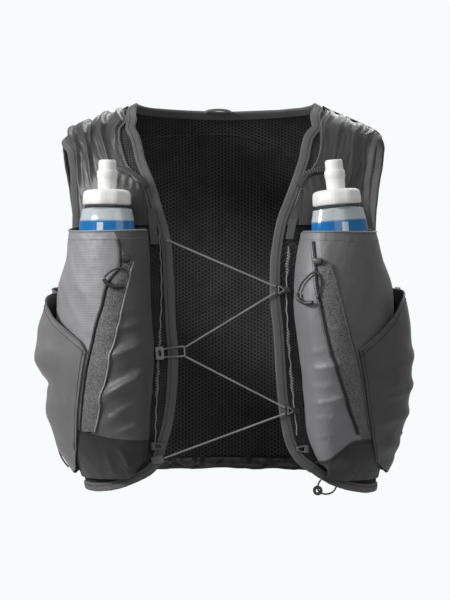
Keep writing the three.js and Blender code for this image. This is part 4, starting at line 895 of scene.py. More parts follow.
for side in SIDES:
    line = seam(side, LIP_LINE[side])
    centre, across, out, along = edge_frames(side, *line(np.linspace(0, 1, LIP_STEPS)).T)
    low = YOKE_TOP + LAYER_GAP
    section = rounded_section(LIP_WIDTH, low, low + LIP_THICKNESS) * (-SIGN[side], 1)
    run = np.linspace(0, 1, LIP_STEPS)[:, None]
    ruffle = 0.45 * np.sin(run * 95) * np.sin(run * math.pi)
    sections = section[None] + np.stack([0 * ruffle, ruffle], -1) * (section[None, :, 1:] > low + 0.5)
    swept(f"yoke_lip_{side}", centre, sections, YOKE_GREY, frames=(along, across, out))
    u, v = grid_of(70, 60)
    top = line(u)
    turn = mix(top[..., 0], mix(STRAP_POCKET_INNER[side], STRAP_POCKET_OUTER, u), v)
    drop = mix(top[..., 1] + LIP_SHADOW, YOKE_BOTTOM["inner"], v)
    sag = 0.8 * bell(v - 0.12, 0.1) * np.sin(u * 14) ** 2
    cloth_piece(f"strap_pocket_{side}", cloth(side, turn, drop, STRAP_TOP - sag), CLOTH_WALL, YOKE_GREY,
                "laid")
print("shoulders made")

# %% [markdown]
# A flask pocket is one bag pulled over the flask. The zip line splits its cloth: light
# ripstop on one side, a darker panel on the other, and a low panel at the foot, whose very
# dark tone is partly painted shade. Each panel is cut from the same surface, so they meet in a
# seam and keep the bag's shape.

# %% Flask pockets
POCKET_HEM_GAP, FOLD_DEPTH = 0.018, 1.9
POCKET_MOUTH = {"right": (0.297, 0.303, 0.274), "left": (0.303, 0.305, 0.286)}
# Low panel: where its upper seam runs, as (turn, drop)
LOW_SEAM = {
    "right": [(0.1, 0.835), (0.2, 0.825), (0.262, 0.812), (0.33, 0.8), (0.47, 0.79)],
    "left": [(0.1, 0.905), (0.17, 0.892), (0.205, 0.858), (0.24, 0.834), (0.3, 0.83), (0.47, 0.83)],
}
# Folds seen in the photograph: start, end, width and height
POCKET_FOLDS = {
    "right": [
        ((0.104, 0.57), (0.215, 0.64), 0.012, 2.1), ((0.106, 0.645), (0.235, 0.75), 0.013, 3.3),
        ((0.108, 0.71), (0.225, 0.8), 0.011, 2.0), ((0.12, 0.78), (0.22, 0.83), 0.008, 1.0),
        ((0.104, 0.52), (0.19, 0.56), 0.009, 1.0),
        ((0.15, 0.5), (0.19, 0.53), 0.008, 0.5), ((0.14, 0.4), (0.18, 0.45), 0.006, 0.5),
        ((0.29, 0.33), (0.22, 0.5), 0.008, 0.5), ((0.3, 0.42), (0.235, 0.56), 0.008, 0.6),
        ((0.18, 0.9), (0.19, 0.84), 0.009, 1.1), ((0.23, 0.92), (0.225, 0.86), 0.008, 0.8)],
    "left": [
        ((0.122, 0.615), (0.175, 0.59), 0.009, 0.6), ((0.123, 0.655), (0.2, 0.63), 0.007, 0.8),
        ((0.124, 0.7), (0.18, 0.69), 0.011, 0.9), ((0.128, 0.745), (0.21, 0.715), 0.006, 0.7),
        ((0.132, 0.78), (0.19, 0.77), 0.009, 0.6), ((0.14, 0.825), (0.2, 0.815), 0.006, 0.5),
        ((0.19, 0.9), (0.21, 0.85), 0.008, 0.8), ((0.26, 0.93), (0.25, 0.87), 0.008, 0.6)],
}


def fine_relief(side, turn, drop):
    total = ridges(POCKET_FOLDS[side], turn, drop, lambda a: ease(-0.12, 0.1, a) * (1 - ease(0.45, 1.15, a)))
    calm = ease(0, 0.013, turn - turn_at(POCKET_INNER[side], drop))
    ripple = 0.3 * value_noise(turn * 90, drop * 44 + turn * 30, 7)
    return calm * FOLD_DEPTH * total + ripple + 0.12 * value_noise(turn * 260, drop * 130, 8)


def pocket_cloth(side, turn, drop):
    relief = fine_relief(side, turn, drop)[..., None]
    return pocket_point(side, turn, drop) + relief * level_normal(side, turn, drop)


def pocket_places(side, columns, rows):
    u, v = grid_of(columns, rows)
    inner_top, middle_top, outer_top = POCKET_MOUTH[side]
    swing = math.pi * u
    top = np.where(u < 0.5, mix(inner_top, middle_top, np.sin(swing)),
                   mix(outer_top, middle_top, np.sin(swing) ** 0.6))
    foot_turn = mix(POCKET_INNER[side][-1][0], POCKET_OUTER[side][-1][0], (1 - np.cos(swing)) / 2)
    drop = mix(top, table(HEM_LINE[side], foot_turn) - POCKET_HEM_GAP, v)
    edge = np.where(u < 0.5, turn_at(POCKET_INNER[side], drop), turn_at(POCKET_OUTER[side], drop))
    middle = FLASK_TURN[side]
    return middle + (edge - middle) * np.abs(np.cos(swing)), drop


# How far the panel seam lies from the zip line: along it, at the mouth and at the foot
PANEL_SHIFTS = {"right": (-0.004, 0.018, 0.05), "left": (0.004, -0.004, 0.012)}


def panel_distances(side, turn, drop):
    """Signed distances to the zip line and the low seam, for the material to cut by."""
    shift, mouth, foot = PANEL_SHIFTS[side]
    line = [(t + shift, d) for t, d in ZIP_LINE[side]]
    line = [(line[0][0] + mouth, 0.29), *line, (line[-1][0] + foot, 0.87)]
    return turn - turn_at(line, drop), drop - table(LOW_SEAM[side], turn)


def panelled(name, zip_sign, light, dark, low):
    """Ripstop, dark panel and low panel in one material, cut by the two distances. The low panel's dark tone
    is partly painted shade.
    """
    material = finish(name, cool(light), cool(1.35 * light), 0.4, "threads", 0.0007, 0.2, lines=0.16,
                      sheen=0.2)
    tree = material.node_tree
    maths, shader = maths_of(tree), tree.nodes["Principled BSDF"]
    colour = shader.inputs["Base Color"].links[0].from_socket
    tone = next(n for n in tree.nodes if n.type == "MAP_RANGE").outputs[0]
    # The low panel's tone is set far darker than the dark panel, so it also paints the shade at the pocket's
    # foot.
    for label, sign, shade in (("from_zip", zip_sign, dark), ("from_low", 1.0, low)):
        distance = node(tree, "ShaderNodeAttribute", attribute_name=label)["Fac"]
        beyond = maths("GREATER_THAN", maths("MULTIPLY", distance, sign), 0.0)
        colour = blend(tree, beyond, colour, blend(tree, tone, rgba(shade), rgba(shade, 1.4)))
    wire(tree, shader, {"Base Color": colour})
    return material


# Both pockets are of the same ripstop and dark cloth; the right pocket's lighter ripstop tone is partly
# painted light from the key light.
PANELS = {"right": panelled("right pocket cloth", -1.0, 0.2, 0.066, 0.014),
          "left": panelled("left pocket cloth", 1.0, 0.155, 0.1, 0.018)}
for side in SIDES:
    turn, drop = pocket_places(side, 120, 170)
    pocket = cloth_piece(f"flask_pocket_{side}", pocket_cloth(side, turn, drop), CLOTH_WALL,
                         PANELS[side], "draped")
    from_zip, from_low = panel_distances(side, turn, drop)
    paint(pocket, from_zip=[from_zip, from_zip], from_low=[from_low, from_low])
print("flask pockets made")

# %% Zip tapes
TAPE_WALL, FACET_EASE = 1, 0.9
for side in SIDES:
    u, v = grid_of(18, 150)
    at = mix(seam(side, ZIP_LINE[side])(v), seam(side, TAPE_LINE[side])(v), u[..., None])
    turn, drop = np.moveaxis(at, -1, 0)
    puff = 0.7 * np.sin(math.pi * u) ** 0.6 - 0.5
    stand = FACET_EASE + TAPE_WALL + puff + fine_relief(side, turn, drop) * 0.5
    cloth_piece(f"zip_tape_{side}", on_pocket(side, turn, drop, stand), TAPE_WALL, TAPE_GREY,
                "laid")

# %% Side pockets
SIDE_FOLDS = {
    "right": [((0.3, 0.6), (0.52, 0.66), 0.03, 3.4), ((0.3, 0.72), (0.5, 0.8), 0.03, 3.6),
              ((0.34, 0.68), (0.5, 0.71), 0.014, -4.0), ((0.31, 0.84), (0.42, 0.86), 0.016, 2.0)],
    "left": [((0.26, 0.66), (0.44, 0.6), 0.018, 2.6), ((0.27, 0.73), (0.46, 0.68), 0.016, 3.0),
             ((0.28, 0.79), (0.46, 0.76), 0.016, 2.6), ((0.3, 0.85), (0.5, 0.86), 0.018, 2.2)],
}
# One knit on both side pockets; the wearer's right pocket gets the lighter copy as painted light.
SIDE_CLOTH = {"right": SIDE_PAINTED_LIGHT, "left": SIDE_GREY}


def side_relief(side, turn, drop):
    total = ridges(SIDE_FOLDS[side], turn, drop, lambda a: ease(-0.1, 0.3, a) * (1 - ease(0.7, 1.15, a)))
    return total + 0.5 * value_noise(turn * 30, drop * 22, 11) + 0.2 * value_noise(turn * 80, drop * 60, 12)


for side in SIDES:
    ends = np.array(SIDE_MOUTH[side][-1]), np.array(SIDE_BASE[-1])
    place = patch(seam(side, SIDE_MOUTH[side]), seam(side, [SIDE_SEAM[side][-1]] + SIDE_BASE),
                  seam(side, SIDE_SEAM[side]), lambda v: mix(*ends, np.asarray(v)[..., None]))
    u, v = grid_of(110, 100)
    turn, drop = np.moveaxis(place(u, v), -1, 0)
    relief = side_relief(side, turn, drop) * ease(0, 0.08, u) * ease(0, 0.06, v)
    cloth_piece(f"side_pocket_{side}", side_point(side, turn, drop, relief), CLOTH_WALL,
                SIDE_CLOTH[side], "stretched")

# %% Back storage
PACK_SWELL, PACK_SIDE_TURN = 38, 0.64
PACK_RISE = [(-0.03, 0), (0.06, 0.3), (0.25, 0.92), (0.5, 1), (0.75, 0.85), (0.88, 0.4), (0.95, 0.03)]


def pack_raise(away, drop):
    crown = np.maximum(1 - away ** 3, 0) ** 0.7
    sag = 1.5 * value_noise(away * 5 + 9, drop * 9, 21) * crown * ease(0, 0.2, drop)
    return CLOTH_TOP + 2.4 * FACET_EASE + 0 * away, PACK_SWELL * crown * table(PACK_RISE, drop) + sag


cloth_piece("back_pack", back_grid(PACK_SIDE_TURN, pack_raise, 140, 110), CLOTH_WALL, YOKE_GREY,
            "hung")
print("pockets and storage made")

# %% [markdown]
# Bindings are woven tape folded over the cut edges. One runs from hem to hem round the
# neck, one round each armhole and one along each front hem.

# %% Bindings
WAVER, HEM_WIDTH, HEM_THICKNESS = 0.22, 8, 3.2
# The tape at the front of the armhole turns towards the viewer
ARM_FLARE = math.radians(38)
ARM_LINE, HEM_EDGE = {}, {}


def waver(count, seed):
    return WAVER * value_noise(np.linspace(0, 60, count), np.full(count, seed + 0.5), seed)


def binding(name, line, width, thickness, direction=1, closed=False):
    centre, across, out, along = line
    section = rounded_section(width, -BINDING_SINK, thickness - BINDING_SINK, start=-1.2)
    change = np.stack([waver(len(centre), 31), waver(len(centre), 32)], -1)[:, None]
    sections = (section[None] + change * (section[None, :, :1] > 2)) * (direction, 1)
    swept(name, centre, sections, BINDING_GREY, closed, (along, across, out))


def half_edge(side):
    at = seam(side, FRONT_EDGE[side][::-1] + NECK_BACK)(np.linspace(0, 1, 260)).T
    return np.stack([cloth(side, *at), form_normal(side, *at)])


centre, normal = np.concatenate([half_edge("right"), half_edge("left")[:, -2::-1]], axis=1)
along = unit(np.gradient(centre, axis=0))
across = unit(np.cross(along, normal))
FRONT_LINE = (centre, across, np.cross(across, along), along)
binding("front_binding", FRONT_LINE, BINDING_WIDTH, BINDING_THICKNESS)
for side in SIDES:
    ring = ARM_FRONT[side] + ARM_BACK[::-1] + ARM_FRONT[side][:1]
    turn, drop = seam(side, ring)(np.linspace(0, 1, 261))[:-1].T
    centre, across, out, along = edge_frames(side, turn, drop, closed=True)
    flare = ARM_FLARE * (ease(0.02, 0.1, drop) * (1 - ease(0.3, 0.4, drop))
                         * (1 - ease(0.46, 0.52, turn)))[:, None]
    reach = -SIGN[side] * across
    ARM_LINE[side] = (centre, -SIGN[side] * (np.cos(flare) * reach + np.sin(flare) * out),
                      np.cos(flare) * out - np.sin(flare) * reach, along)
    binding(f"arm_binding_{side}", ARM_LINE[side], BINDING_WIDTH, BINDING_THICKNESS, -SIGN[side], True)
    # The hem tape starts with a fan that turns out of the front binding
    hem = edge_frames(side, *seam(side, HEM_LINE[side])(np.linspace(0, 1, 90)).T)
    first, last = FRONT_LINE[1][0 if side == "right" else -1], SIGN[side] * hem[1][0]
    fan = SIGN[side] * unit(mix(first, last, np.linspace(0, 1, 9)[:-1, None]))
    still = [np.repeat(part[:1], len(fan), 0) for part in hem]
    HEM_EDGE[side] = tuple(np.concatenate(pair) for pair in zip((still[0], fan, *still[2:]), hem))
    binding(f"hem_binding_{side}", HEM_EDGE[side], HEM_WIDTH, HEM_THICKNESS, SIGN[side])
print("bindings made")

# %% [markdown]
# The soft flasks are film round water. Each is drawn as sections up its own line, and the
# film's colour changes along its height: blue low down, clear above, with a pale strip.

# %% Flasks
FLASK_MOUTH_DROP, FLASK_LEAN = 0.3, 0.06
FLASK_TILT = {"right": 0.005, "left": -0.085}
FLASK_SHOWN, COLLAR = 26, 42
# Height, then shares of the flask's width and depth
FLASK_SECTIONS = np.array([
    (-140, 0.8, 0.1), (-133, 0.9, 0.36), (-109, 0.96, 0.74), (-63, 0.98, 0.92), (0, 1, 1),
    (9.1, 0.98, 1), (15.6, 0.93, 0.98), (22.4, 0.88, 0.97)])
CAP_DIAMETER, CAP_HEIGHT, CAP_LOBES, CAP_LOBE_DEPTH, CAP_RIBS, RIB_DEPTH = 50, 16, 9, 0.8, 36, 0.006
CAP_SECTIONS = [(0, 0.94), (0.04, 0.975), (0.12, 1), (0.4, 0.995), (0.7, 0.98), (0.84, 0.95),
                (0.92, 0.89), (0.97, 0.8), (1, 0.7)]
VALVE_DIAMETER, VALVE_LENGTH = 21, 30
VALVE_SECTIONS = [(0, 0.88), (0.05, 0.9), (0.3, 0.93), (0.38, 0.96), (0.42, 1), (0.58, 1), (0.62, 0.97),
                  (0.66, 0.88), (0.7, 0.86), (0.9, 0.86), (0.96, 0.83), (1, 0.72)]
CAP_BASE = FLASK_SHOWN + SEAT_GAP
VALVE_BASE = CAP_BASE + CAP_HEIGHT + SEAT_GAP
TETHER_HEIGHT, TETHER_RADIUS = 24.75, 22.25
STRIP_PLACE, STRIP_HALF, STRIP_TOP = {"right": -6.0, "left": 5.0}, 3.2, 8.5
WATER_LEVEL = (9.5, 11.5)


def flask_rings(side, heights, half_width, half_depth, corners, wave=1.0):
    """Level rings on the flask's line: an array of (rings, corners, 3)."""
    height = np.asarray(heights, float)[:, None]
    drop = FLASK_MOUTH_DROP - np.minimum(height, 0) / VEST_LENGTH
    turn, above = FLASK_TURN[side] + 0 * drop, np.maximum(height, 0)
    tilt = FLASK_TILT[side] * ease(-70, 0, height)
    point = cloth(side, turn, drop, 0, FLASK_BACK + FLASK_DEPTH / 2)
    point = point + np.stack([tilt * above, FLASK_LEAN * above, above], -1)
    out = level_normal(side, turn, np.maximum(drop, FLASK_MOUTH_DROP))
    across = np.stack([-out[..., 1], out[..., 0], 0 * out[..., 0]], -1)
    angle = np.linspace(0, 2 * math.pi, corners, endpoint=False)[None]
    a = np.asarray(half_width, float).reshape(-1, 1) * np.cos(angle) * wave
    o = np.asarray(half_depth, float).reshape(-1, 1) * np.sin(angle) * wave
    ring = point + a[..., None] * across + o[..., None] * out
    ring[..., 2] -= tilt * (ring[..., 0] - point[..., 0])
    return ring


def stacked(name, rings, material, sharp=50):
    """Rings joined into a closed solid."""
    levels, corners = rings.shape[:2]
    uv = np.stack(np.broadcast_arrays(np.linspace(0, 120, corners)[None], rings[:, :1, 2]), -1)
    return solid_object(name, rings.reshape(-1, 3), skin(levels, corners), uv.reshape(-1, 2), material, sharp)


def film_material(side):
    """Blue film below a level, clear film above it, and a pale strip up the front."""
    material, tree, shader, maths = new_material(f"flask film {side}")
    level, strip = (node(tree, "ShaderNodeAttribute", attribute_name=label)["Fac"]
                    for label in ("level", "strip"))
    film = blend(tree, ranged(tree, level, *WATER_LEVEL), (0.004, 0.17, 0.46, 1), (0.52, 0.57, 0.6, 1))
    inside = maths("LESS_THAN", maths("ABSOLUTE", strip), STRIP_HALF)
    shown = maths("MULTIPLY", inside, maths("LESS_THAN", level, STRIP_TOP))
    wire(tree, shader, {"Base Color": blend(tree, shown, film, (0.6, 0.68, 0.75, 1)), "Roughness": 0.16,
                        "Coat Weight": 0.2, "Coat Roughness": 0.08, "Transmission Weight": 0.12})
    return material


for side in SIDES:
    heights = np.concatenate([np.linspace(-140, -100, 14), np.linspace(-96, -6, 22),
                              np.linspace(-3, 22.4, 20)])
    width, depth = (smooth(FLASK_SECTIONS[:, 0], FLASK_SECTIONS[:, i], heights) * size / 2
                    for i, size in ((1, FLASK_WIDTH), (2, FLASK_DEPTH)))
    heights = np.concatenate([heights, [23.0, 23.4, FLASK_SHOWN]])
    width = np.concatenate([width, [COLLAR / 2 + 1.5, COLLAR / 2, COLLAR / 2]])
    depth = np.minimum(np.concatenate([depth, [COLLAR / 2] * 3]), FLASK_DEPTH / 2)
    rings = flask_rings(side, heights, width, depth, 56)
    flask = stacked(f"flask_{side}", rings, film_material(side))
    paint(flask, level=np.broadcast_to(heights[:, None], rings.shape[:2]),
          strip=rings[..., 0] - rings.mean(1, keepdims=True)[..., 0] - STRIP_PLACE[side])
    angle = np.linspace(0, 2 * math.pi, 3 * CAP_RIBS, endpoint=False)
    ribs = (1 - CAP_LOBE_DEPTH / CAP_DIAMETER * (1 - np.cos(CAP_LOBES * angle))
            - RIB_DEPTH * (np.cos(CAP_RIBS * angle) < -0.2))
    for label, rows, base, tall, wide, corners, wave, material in (
            ("flask_cap", CAP_SECTIONS, CAP_BASE, CAP_HEIGHT, CAP_DIAMETER, len(angle), ribs[None],
             CAP_WHITE),
            ("bite_valve", VALVE_SECTIONS, VALVE_BASE, VALVE_LENGTH, VALVE_DIAMETER, 40, 1.0, VALVE_WHITE)):
        height, radius = np.array(rows).T * [[tall], [wide / 2]]
        rings = flask_rings(side, base + height, radius, radius, corners, wave)
        stacked(f"{label}_{side}", rings, material, 40)
    ring = flask_rings(side, [TETHER_HEIGHT], TETHER_RADIUS, TETHER_RADIUS, 48)[0]
    tube(f"flask_tether_{side}", ring, FINE_CORD, CORD_DARK, 10, closed=True)
print("flasks made")

# %% Flat fittings
HOOK_THICKNESS = 2
HOOK_OUTLINE = [(-0.5, -0.5), (-0.26, -0.5), (0.12, -0.24), (0.5, -0.27), (0.5, 0.27), (0.12, 0.24),
                (-0.26, 0.5), (-0.5, 0.5)]
HOOK_EYE = [(-0.34, -0.3), (0.02, 0), (-0.34, 0.3)]
LOOP_OUTLINE = [(-0.5, -0.5), (-0.2, -0.5), (0.42, -0.3), (0.5, -0.2), (0.5, 0.2), (0.42, 0.3),
                (-0.2, 0.5), (-0.5, 0.5)]
LOOP_EYE = [(-0.16, -0.3), (0.34, -0.16), (0.34, 0.16), (-0.16, 0.3)]
ANCHOR_OUTLINE = [(-0.5, -0.5), (0.5, -0.5), (0.5, 0.5), (-0.5, 0.5)]
# Name: side, turn, drop, length, height, outline, eye, lean
FITTINGS = {
    "hook_upper_left": ("left", 0.093, 0.45, 14, 11, HOOK_OUTLINE, HOOK_EYE, 0),
    "hook_lower_left": ("left", 0.114, 0.756, 14, 11, HOOK_OUTLINE, HOOK_EYE, 0),
    "lace_loop_right": ("right", 0.0895, 0.608, 29, 15, LOOP_OUTLINE, LOOP_EYE, 0.08),
    "end_loop_right": ("right", 0.122, 0.847, 13, 8, LOOP_OUTLINE, LOOP_EYE, 0),
    "end_loop_left": ("left", 0.137, 0.855, 13, 8, LOOP_OUTLINE, LOOP_EYE, math.pi),
    "lace_anchor_right": ("right", 0.124, 0.882, 13, 8, ANCHOR_OUTLINE, None, 0.2),
}


def frame_out(out):
    """Rows are the directions right, up and out."""
    right = unit(np.array([-out[1], out[0], 0])) * (1 if out[1] < 0 else -1)
    return np.stack([right, np.cross(out, right), out])


def rounded_loop(points, radius, steps=5):
    """A closed outline with round corners, and its outward direction at each point."""
    points = np.asarray(points, float)
    after = np.roll(points, -1, 0)
    if np.sum(points[:, 0] * after[:, 1] - after[:, 0] * points[:, 1]) < 0:
        points = points[::-1]
    made = []
    for before, corner, after in zip(np.roll(points, 1, 0), points, np.roll(points, -1, 0)):
        reach = min(radius, 0.42 * np.linalg.norm(before - corner), 0.42 * np.linalg.norm(after - corner))
        a, b = corner + reach * unit(before - corner), corner + reach * unit(after - corner)
        made += [(1 - t) ** 2 * a + 2 * t * (1 - t) * corner + t * t * b for t in np.linspace(0, 1, steps)]
    made = np.array(made)
    step = np.roll(made, -1, 0) - np.roll(made, 1, 0)
    return made, unit(np.stack([step[:, 1], -step[:, 0]], -1))


def ring_faces(points, outer, inner, up):
    """Triangles between an outline and the eye inside it, walking round both."""
    n, m = len(outer), len(inner)
    i, j = 0, int(np.argmin(np.linalg.norm(points[inner, :2] - points[outer[0], :2], axis=1)))
    faces, walked_in, walked_out = [], 0, 0
    while walked_out < n or walked_in < m:
        if walked_in == m or (walked_out * m <= walked_in * n and walked_out < n):
            face = [outer[i], outer[(i + 1) % n], inner[j]]
            i, walked_out = (i + 1) % n, walked_out + 1
        else:
            face = [outer[i], inner[(j + 1) % m], inner[j]]
            j, walked_in = (j + 1) % m, walked_in + 1
        faces.append(face if up else face[::-1])
    return faces


def flat_fitting(name, axes, origin, outer, eye, thickness, material, bevel=0.5, radius=1.6):
    """A flat plate with round corners and edges, with one eye through it if it has one."""
    profile = [(0, -bevel), (bevel, 0), (thickness - bevel, 0), (thickness - 0.3 * bevel, -0.3 * bevel),
               (thickness, -bevel)]
    points, faces, low, high = np.empty((0, 3)), [], [], []
    for outline, corner, way in ((outer, radius, 1), (eye, radius * 0.7, -1)):
        if outline is None:
            continue
        line, away = rounded_loop(outline, corner)
        count, start = len(line), len(points)
        points = np.concatenate([points] + [
            np.column_stack([line + way * inset * away, np.full(count, z)]) for z, inset in profile])
        faces += [[start + i for i in face][::way] for face in skin(len(profile), count, lids=False)]
        low.append(list(range(start, start + count)))
        high.append(list(range(len(points) - count, len(points))))
    if eye is None:
        faces += [low[0][::-1], high[0]]
    else:
        faces += ring_faces(points, *low, False) + ring_faces(points, *high, True)
    return solid_object(name, points @ axes + origin, faces, points[:, :2], material, 40)


def corded_loop(name, axes, origin, length, height, buckle=8.5):
    """A small buckle with a cord loop that runs from it to a tip."""
    x0, x1, half = -length / 2 + 0.8 * buckle, length / 2 + 0.9, buckle / 2
    line = [(x0, 0.26), (x1 - 2.5, 0.34), (x1, 0.25), (x1 + 0.2, 0), (x1, -0.25), (x1 - 2.5, -0.32),
            (x0, -0.28)]
    path = spline([(x, y * height, 1.0) for x, y in line], 70)
    tube(name, path @ axes + origin, FINE_CORD, CORD_GREY, 10)
    plate, eye = ([(a, -c), (b, -c), (b, c), (a, c)] for a, b, c in (
        (-half, half, 0.44 * height), (-0.4 * half, 0.3 * half, 0.2 * height)))
    flat_fitting(f"{name}_buckle", axes, origin + (half - length / 2) * axes[0], plate, eye,
                 HOOK_THICKNESS, MOULDED_GREY)


for name, (side, turn, drop, length, height, outer, eye, lean) in FITTINGS.items():
    c, s = math.cos(lean), math.sin(lean)
    axes = np.array([[c, s, 0], [-s, c, 0], [0, 0, 1]]) @ frame_out(form_normal(side, turn, drop))
    origin = cloth(side, turn, drop, OVER_BINDING)
    if name == "lace_loop_right":
        corded_loop(name, axes, origin, length, height)
        continue
    outer, eye = (None if line is None else np.array(line) * (length, height) for line in (outer, eye))
    flat_fitting(name, axes, origin, outer, eye, HOOK_THICKNESS,
                 MOULDED if name.startswith("hook") else MOULDED_DIM)

TAB_PLACES = {"right": [(0.118, 0.245), (0.117, 0.335)], "left": [(0.108, 0.27), (0.102, 0.322)]}
TAB_HALF_TURN, TAB_WALL = 0.0075, 1.4
for side in SIDES:
    (t0, d0), (t1, d1) = TAB_PLACES[side]
    u, v = grid_of(16, 40)
    tab = cloth(side, mix(t0, t1, v) + (2 * u - 1) * TAB_HALF_TURN, mix(d0, d1, v),
                YOKE_TOP + LAYER_GAP + TAB_WALL)
    cloth_piece(f"lace_tab_{side}", tab, TAB_WALL, SIDE_GREY, held=None)

# %% Sliders, knobs and small fittings
SLIDERS = {"right": (0.154, 0.372), "left": (0.142, 0.38)}
SLIDER_OUTLINE = [(-5.5, 2.1), (-3.85, -3.5), (3.85, -3.5), (5.5, 2.1), (2.75, 3.5), (-2.75, 3.5)]
SLIDER_THICKNESS = 3.2
KNOB_DIAMETER, KNOB_DROP = 7.5, {"right": 0.81, "left": 0.83}
LOCK_PLACE, LOCK_WIDTH = (-3.4, -2.25, -10.6), 5


def ball(name, centre, diameter, material):
    tall = np.sin(np.linspace(-1, 1, 13)[1:-1] * math.pi / 2)[:, None, None]
    around = np.pad(circle(1, 24), ((0, 0), (0, 1))) * np.sqrt(1 - tall ** 2)
    stacked(name, centre + diameter / 2 * (around + tall * (0, 0, 1)), material, 60)


for side in SIDES:
    point, above = (on_pocket(side, *SLIDERS[side], OVER_TAPE + lift) for lift in (0, 1))
    flat_fitting(f"zip_slider_{side}", frame_out(unit(above - point)), point, SLIDER_OUTLINE, None,
                 SLIDER_THICKNESS, MOULDED, 0.7, 1.0)
    centre = side_point(side, POLE_TURN, KNOB_DROP[side], KNOB_DIAMETER / 2 + SEAT_GAP)
    ball(f"pole_knob_{side}", centre, KNOB_DIAMETER, MOULDED)

for name in ("hook_upper_left", "hook_lower_left"):
    side, turn, drop, *size = FITTINGS[name][:5]
    ring = np.array(HOOK_EYE) * size
    outer, eye = (ring.mean(0) + (ring - ring.mean(0)) * grown for grown in (1.3, 0.95))
    flat_fitting(f"{name}_ring", frame_out(form_normal(side, turn, drop)),
                 cloth(side, turn, drop, OVER_BINDING + HOOK_THICKNESS - 0.2), outer, eye, 0.7,
                 MOULDED_GREY, 0.2, 0.8)

lock_axes = np.array([(1, 0, 0), (0, 0, 1), (0, -1, 0)], float)
flat_fitting("drawcord_lock_left", lock_axes, DRAWCORD_START + LOCK_PLACE, circle(LOCK_WIDTH, 20),
             circle(2, 20), LOCK_WIDTH, MOULDED, 0.7, 0.8)

HANG_LOOP_WIDTH, HANG_LOOP_RISE, HANG_LOOP_THICKNESS, HANG_LOOP_CENTRE, HANG_LOOP_SEAT = 31, 5, 1.6, -8, 1.05
neck_end = NECK_BACK[-1][1]
up = unit(np.cross(form_normal("left", 1.0, neck_end), (-1, 0, 0)))
up = up if up[2] > 0 else -up
mid = np.cross((1, 0, 0), up)
base = cloth("left", 1.0, neck_end) + up * (BINDING_WIDTH + HANG_LOOP_SEAT) + (HANG_LOOP_CENTRE, 0, 0)
swing = np.linspace(0, math.pi, 40)[:, None]
arch = (base + np.cos(swing) * (HANG_LOOP_WIDTH / 2 - HANG_LOOP_THICKNESS, 0, 0)
        + np.sin(swing) * (HANG_LOOP_RISE - HANG_LOOP_THICKNESS / 2) * up + mid * BINDING_TOP / 2)
along, out = unit(np.gradient(arch, axis=0)), np.broadcast_to(mid, arch.shape)
band = rounded_section(BINDING_TOP, -HANG_LOOP_THICKNESS / 2, HANG_LOOP_THICKNESS / 2, 4, 0)
swept("hang_loop", arch, band - (BINDING_TOP / 2, 0), BINDING_GREY, frames=(along, out, np.cross(along, out)))
print("small fittings made")

# %% [markdown]
# Stitches, zip coils and overlock are small capsules set along a line by one Geometry
# Nodes tree. Each run is given its line, the direction out of the cloth at each point,
# its pitch and its size, and it is turned into plain mesh.

# %% Stitch tree
def make_stitch_tree():
    geometry = "NodeSocketGeometry"
    tree, put, result = group(
        "stitches", [("Geometry", geometry), ("Pitch", FLOAT), ("Length", FLOAT), ("Radius", FLOAT),
                     ("Turn", FLOAT), ("Material", "NodeSocketMaterial")],
        [("Geometry", geometry)], "GeometryNodeTree")
    maths = maths_of(tree)
    curve = node(tree, "GeometryNodeMeshToCurve", {0: put["Geometry"]})[0]
    points = node(tree, "GeometryNodeCurveToPoints", {"Curve": curve, "Length": put["Pitch"]}, mode="LENGTH")
    away = node(tree, "GeometryNodeInputNamedAttribute", {"Name": "out"}, data_type="FLOAT_VECTOR")
    along = node(tree, "FunctionNodeAlignRotationToVector", {"Vector": points["Tangent"]}, axis="Z")[0]
    level = node(tree, "FunctionNodeAlignRotationToVector",
                 {"Rotation": along, "Vector": away["Attribute"]}, axis="X", pivot_axis="Z")[0]
    odd = maths("MODULO", node(tree, "GeometryNodeInputIndex")[0], 2.0)
    angle = maths("MULTIPLY", maths("SUBTRACT", maths("MULTIPLY", odd, 2.0), 1.0), put["Turn"])
    spin = node(tree, "FunctionNodeAxisAngleToRotation", {"Axis": (1, 0, 0), "Angle": angle})[0]
    turned = node(tree, "FunctionNodeRotateRotation", {"Rotation": level, "Rotate By": spin},
                  rotation_space="LOCAL")[0]
    thread = node(tree, "GeometryNodeMeshCylinder",
                  {"Vertices": 6, "Radius": put["Radius"], "Depth": put["Length"]})["Mesh"]
    # The sizes vary a little: lowest, highest and seed
    vary = node(tree, "FunctionNodeRandomValue", {2: 0.88, 3: 1.1, 8: 5}, data_type="FLOAT")[1]
    made = node(tree, "GeometryNodeInstanceOnPoints", {"Points": points["Points"], "Instance": thread,
                                                       "Rotation": turned, "Scale": vary})[0]
    for kind in ("GeometryNodeRealizeInstances", "GeometryNodeSetShadeSmooth"):
        made = node(tree, kind, {0: made})[0]
    dressed = node(tree, "GeometryNodeSetMaterial", {"Geometry": made, "Material": put["Material"]})[0]
    wire(tree, result, {0: dressed})
    return tree


STITCHES = make_stitch_tree()
SOCKETS = {item.name: item.identifier for item in STITCHES.interface.items_tree if item.in_out == "INPUT"}


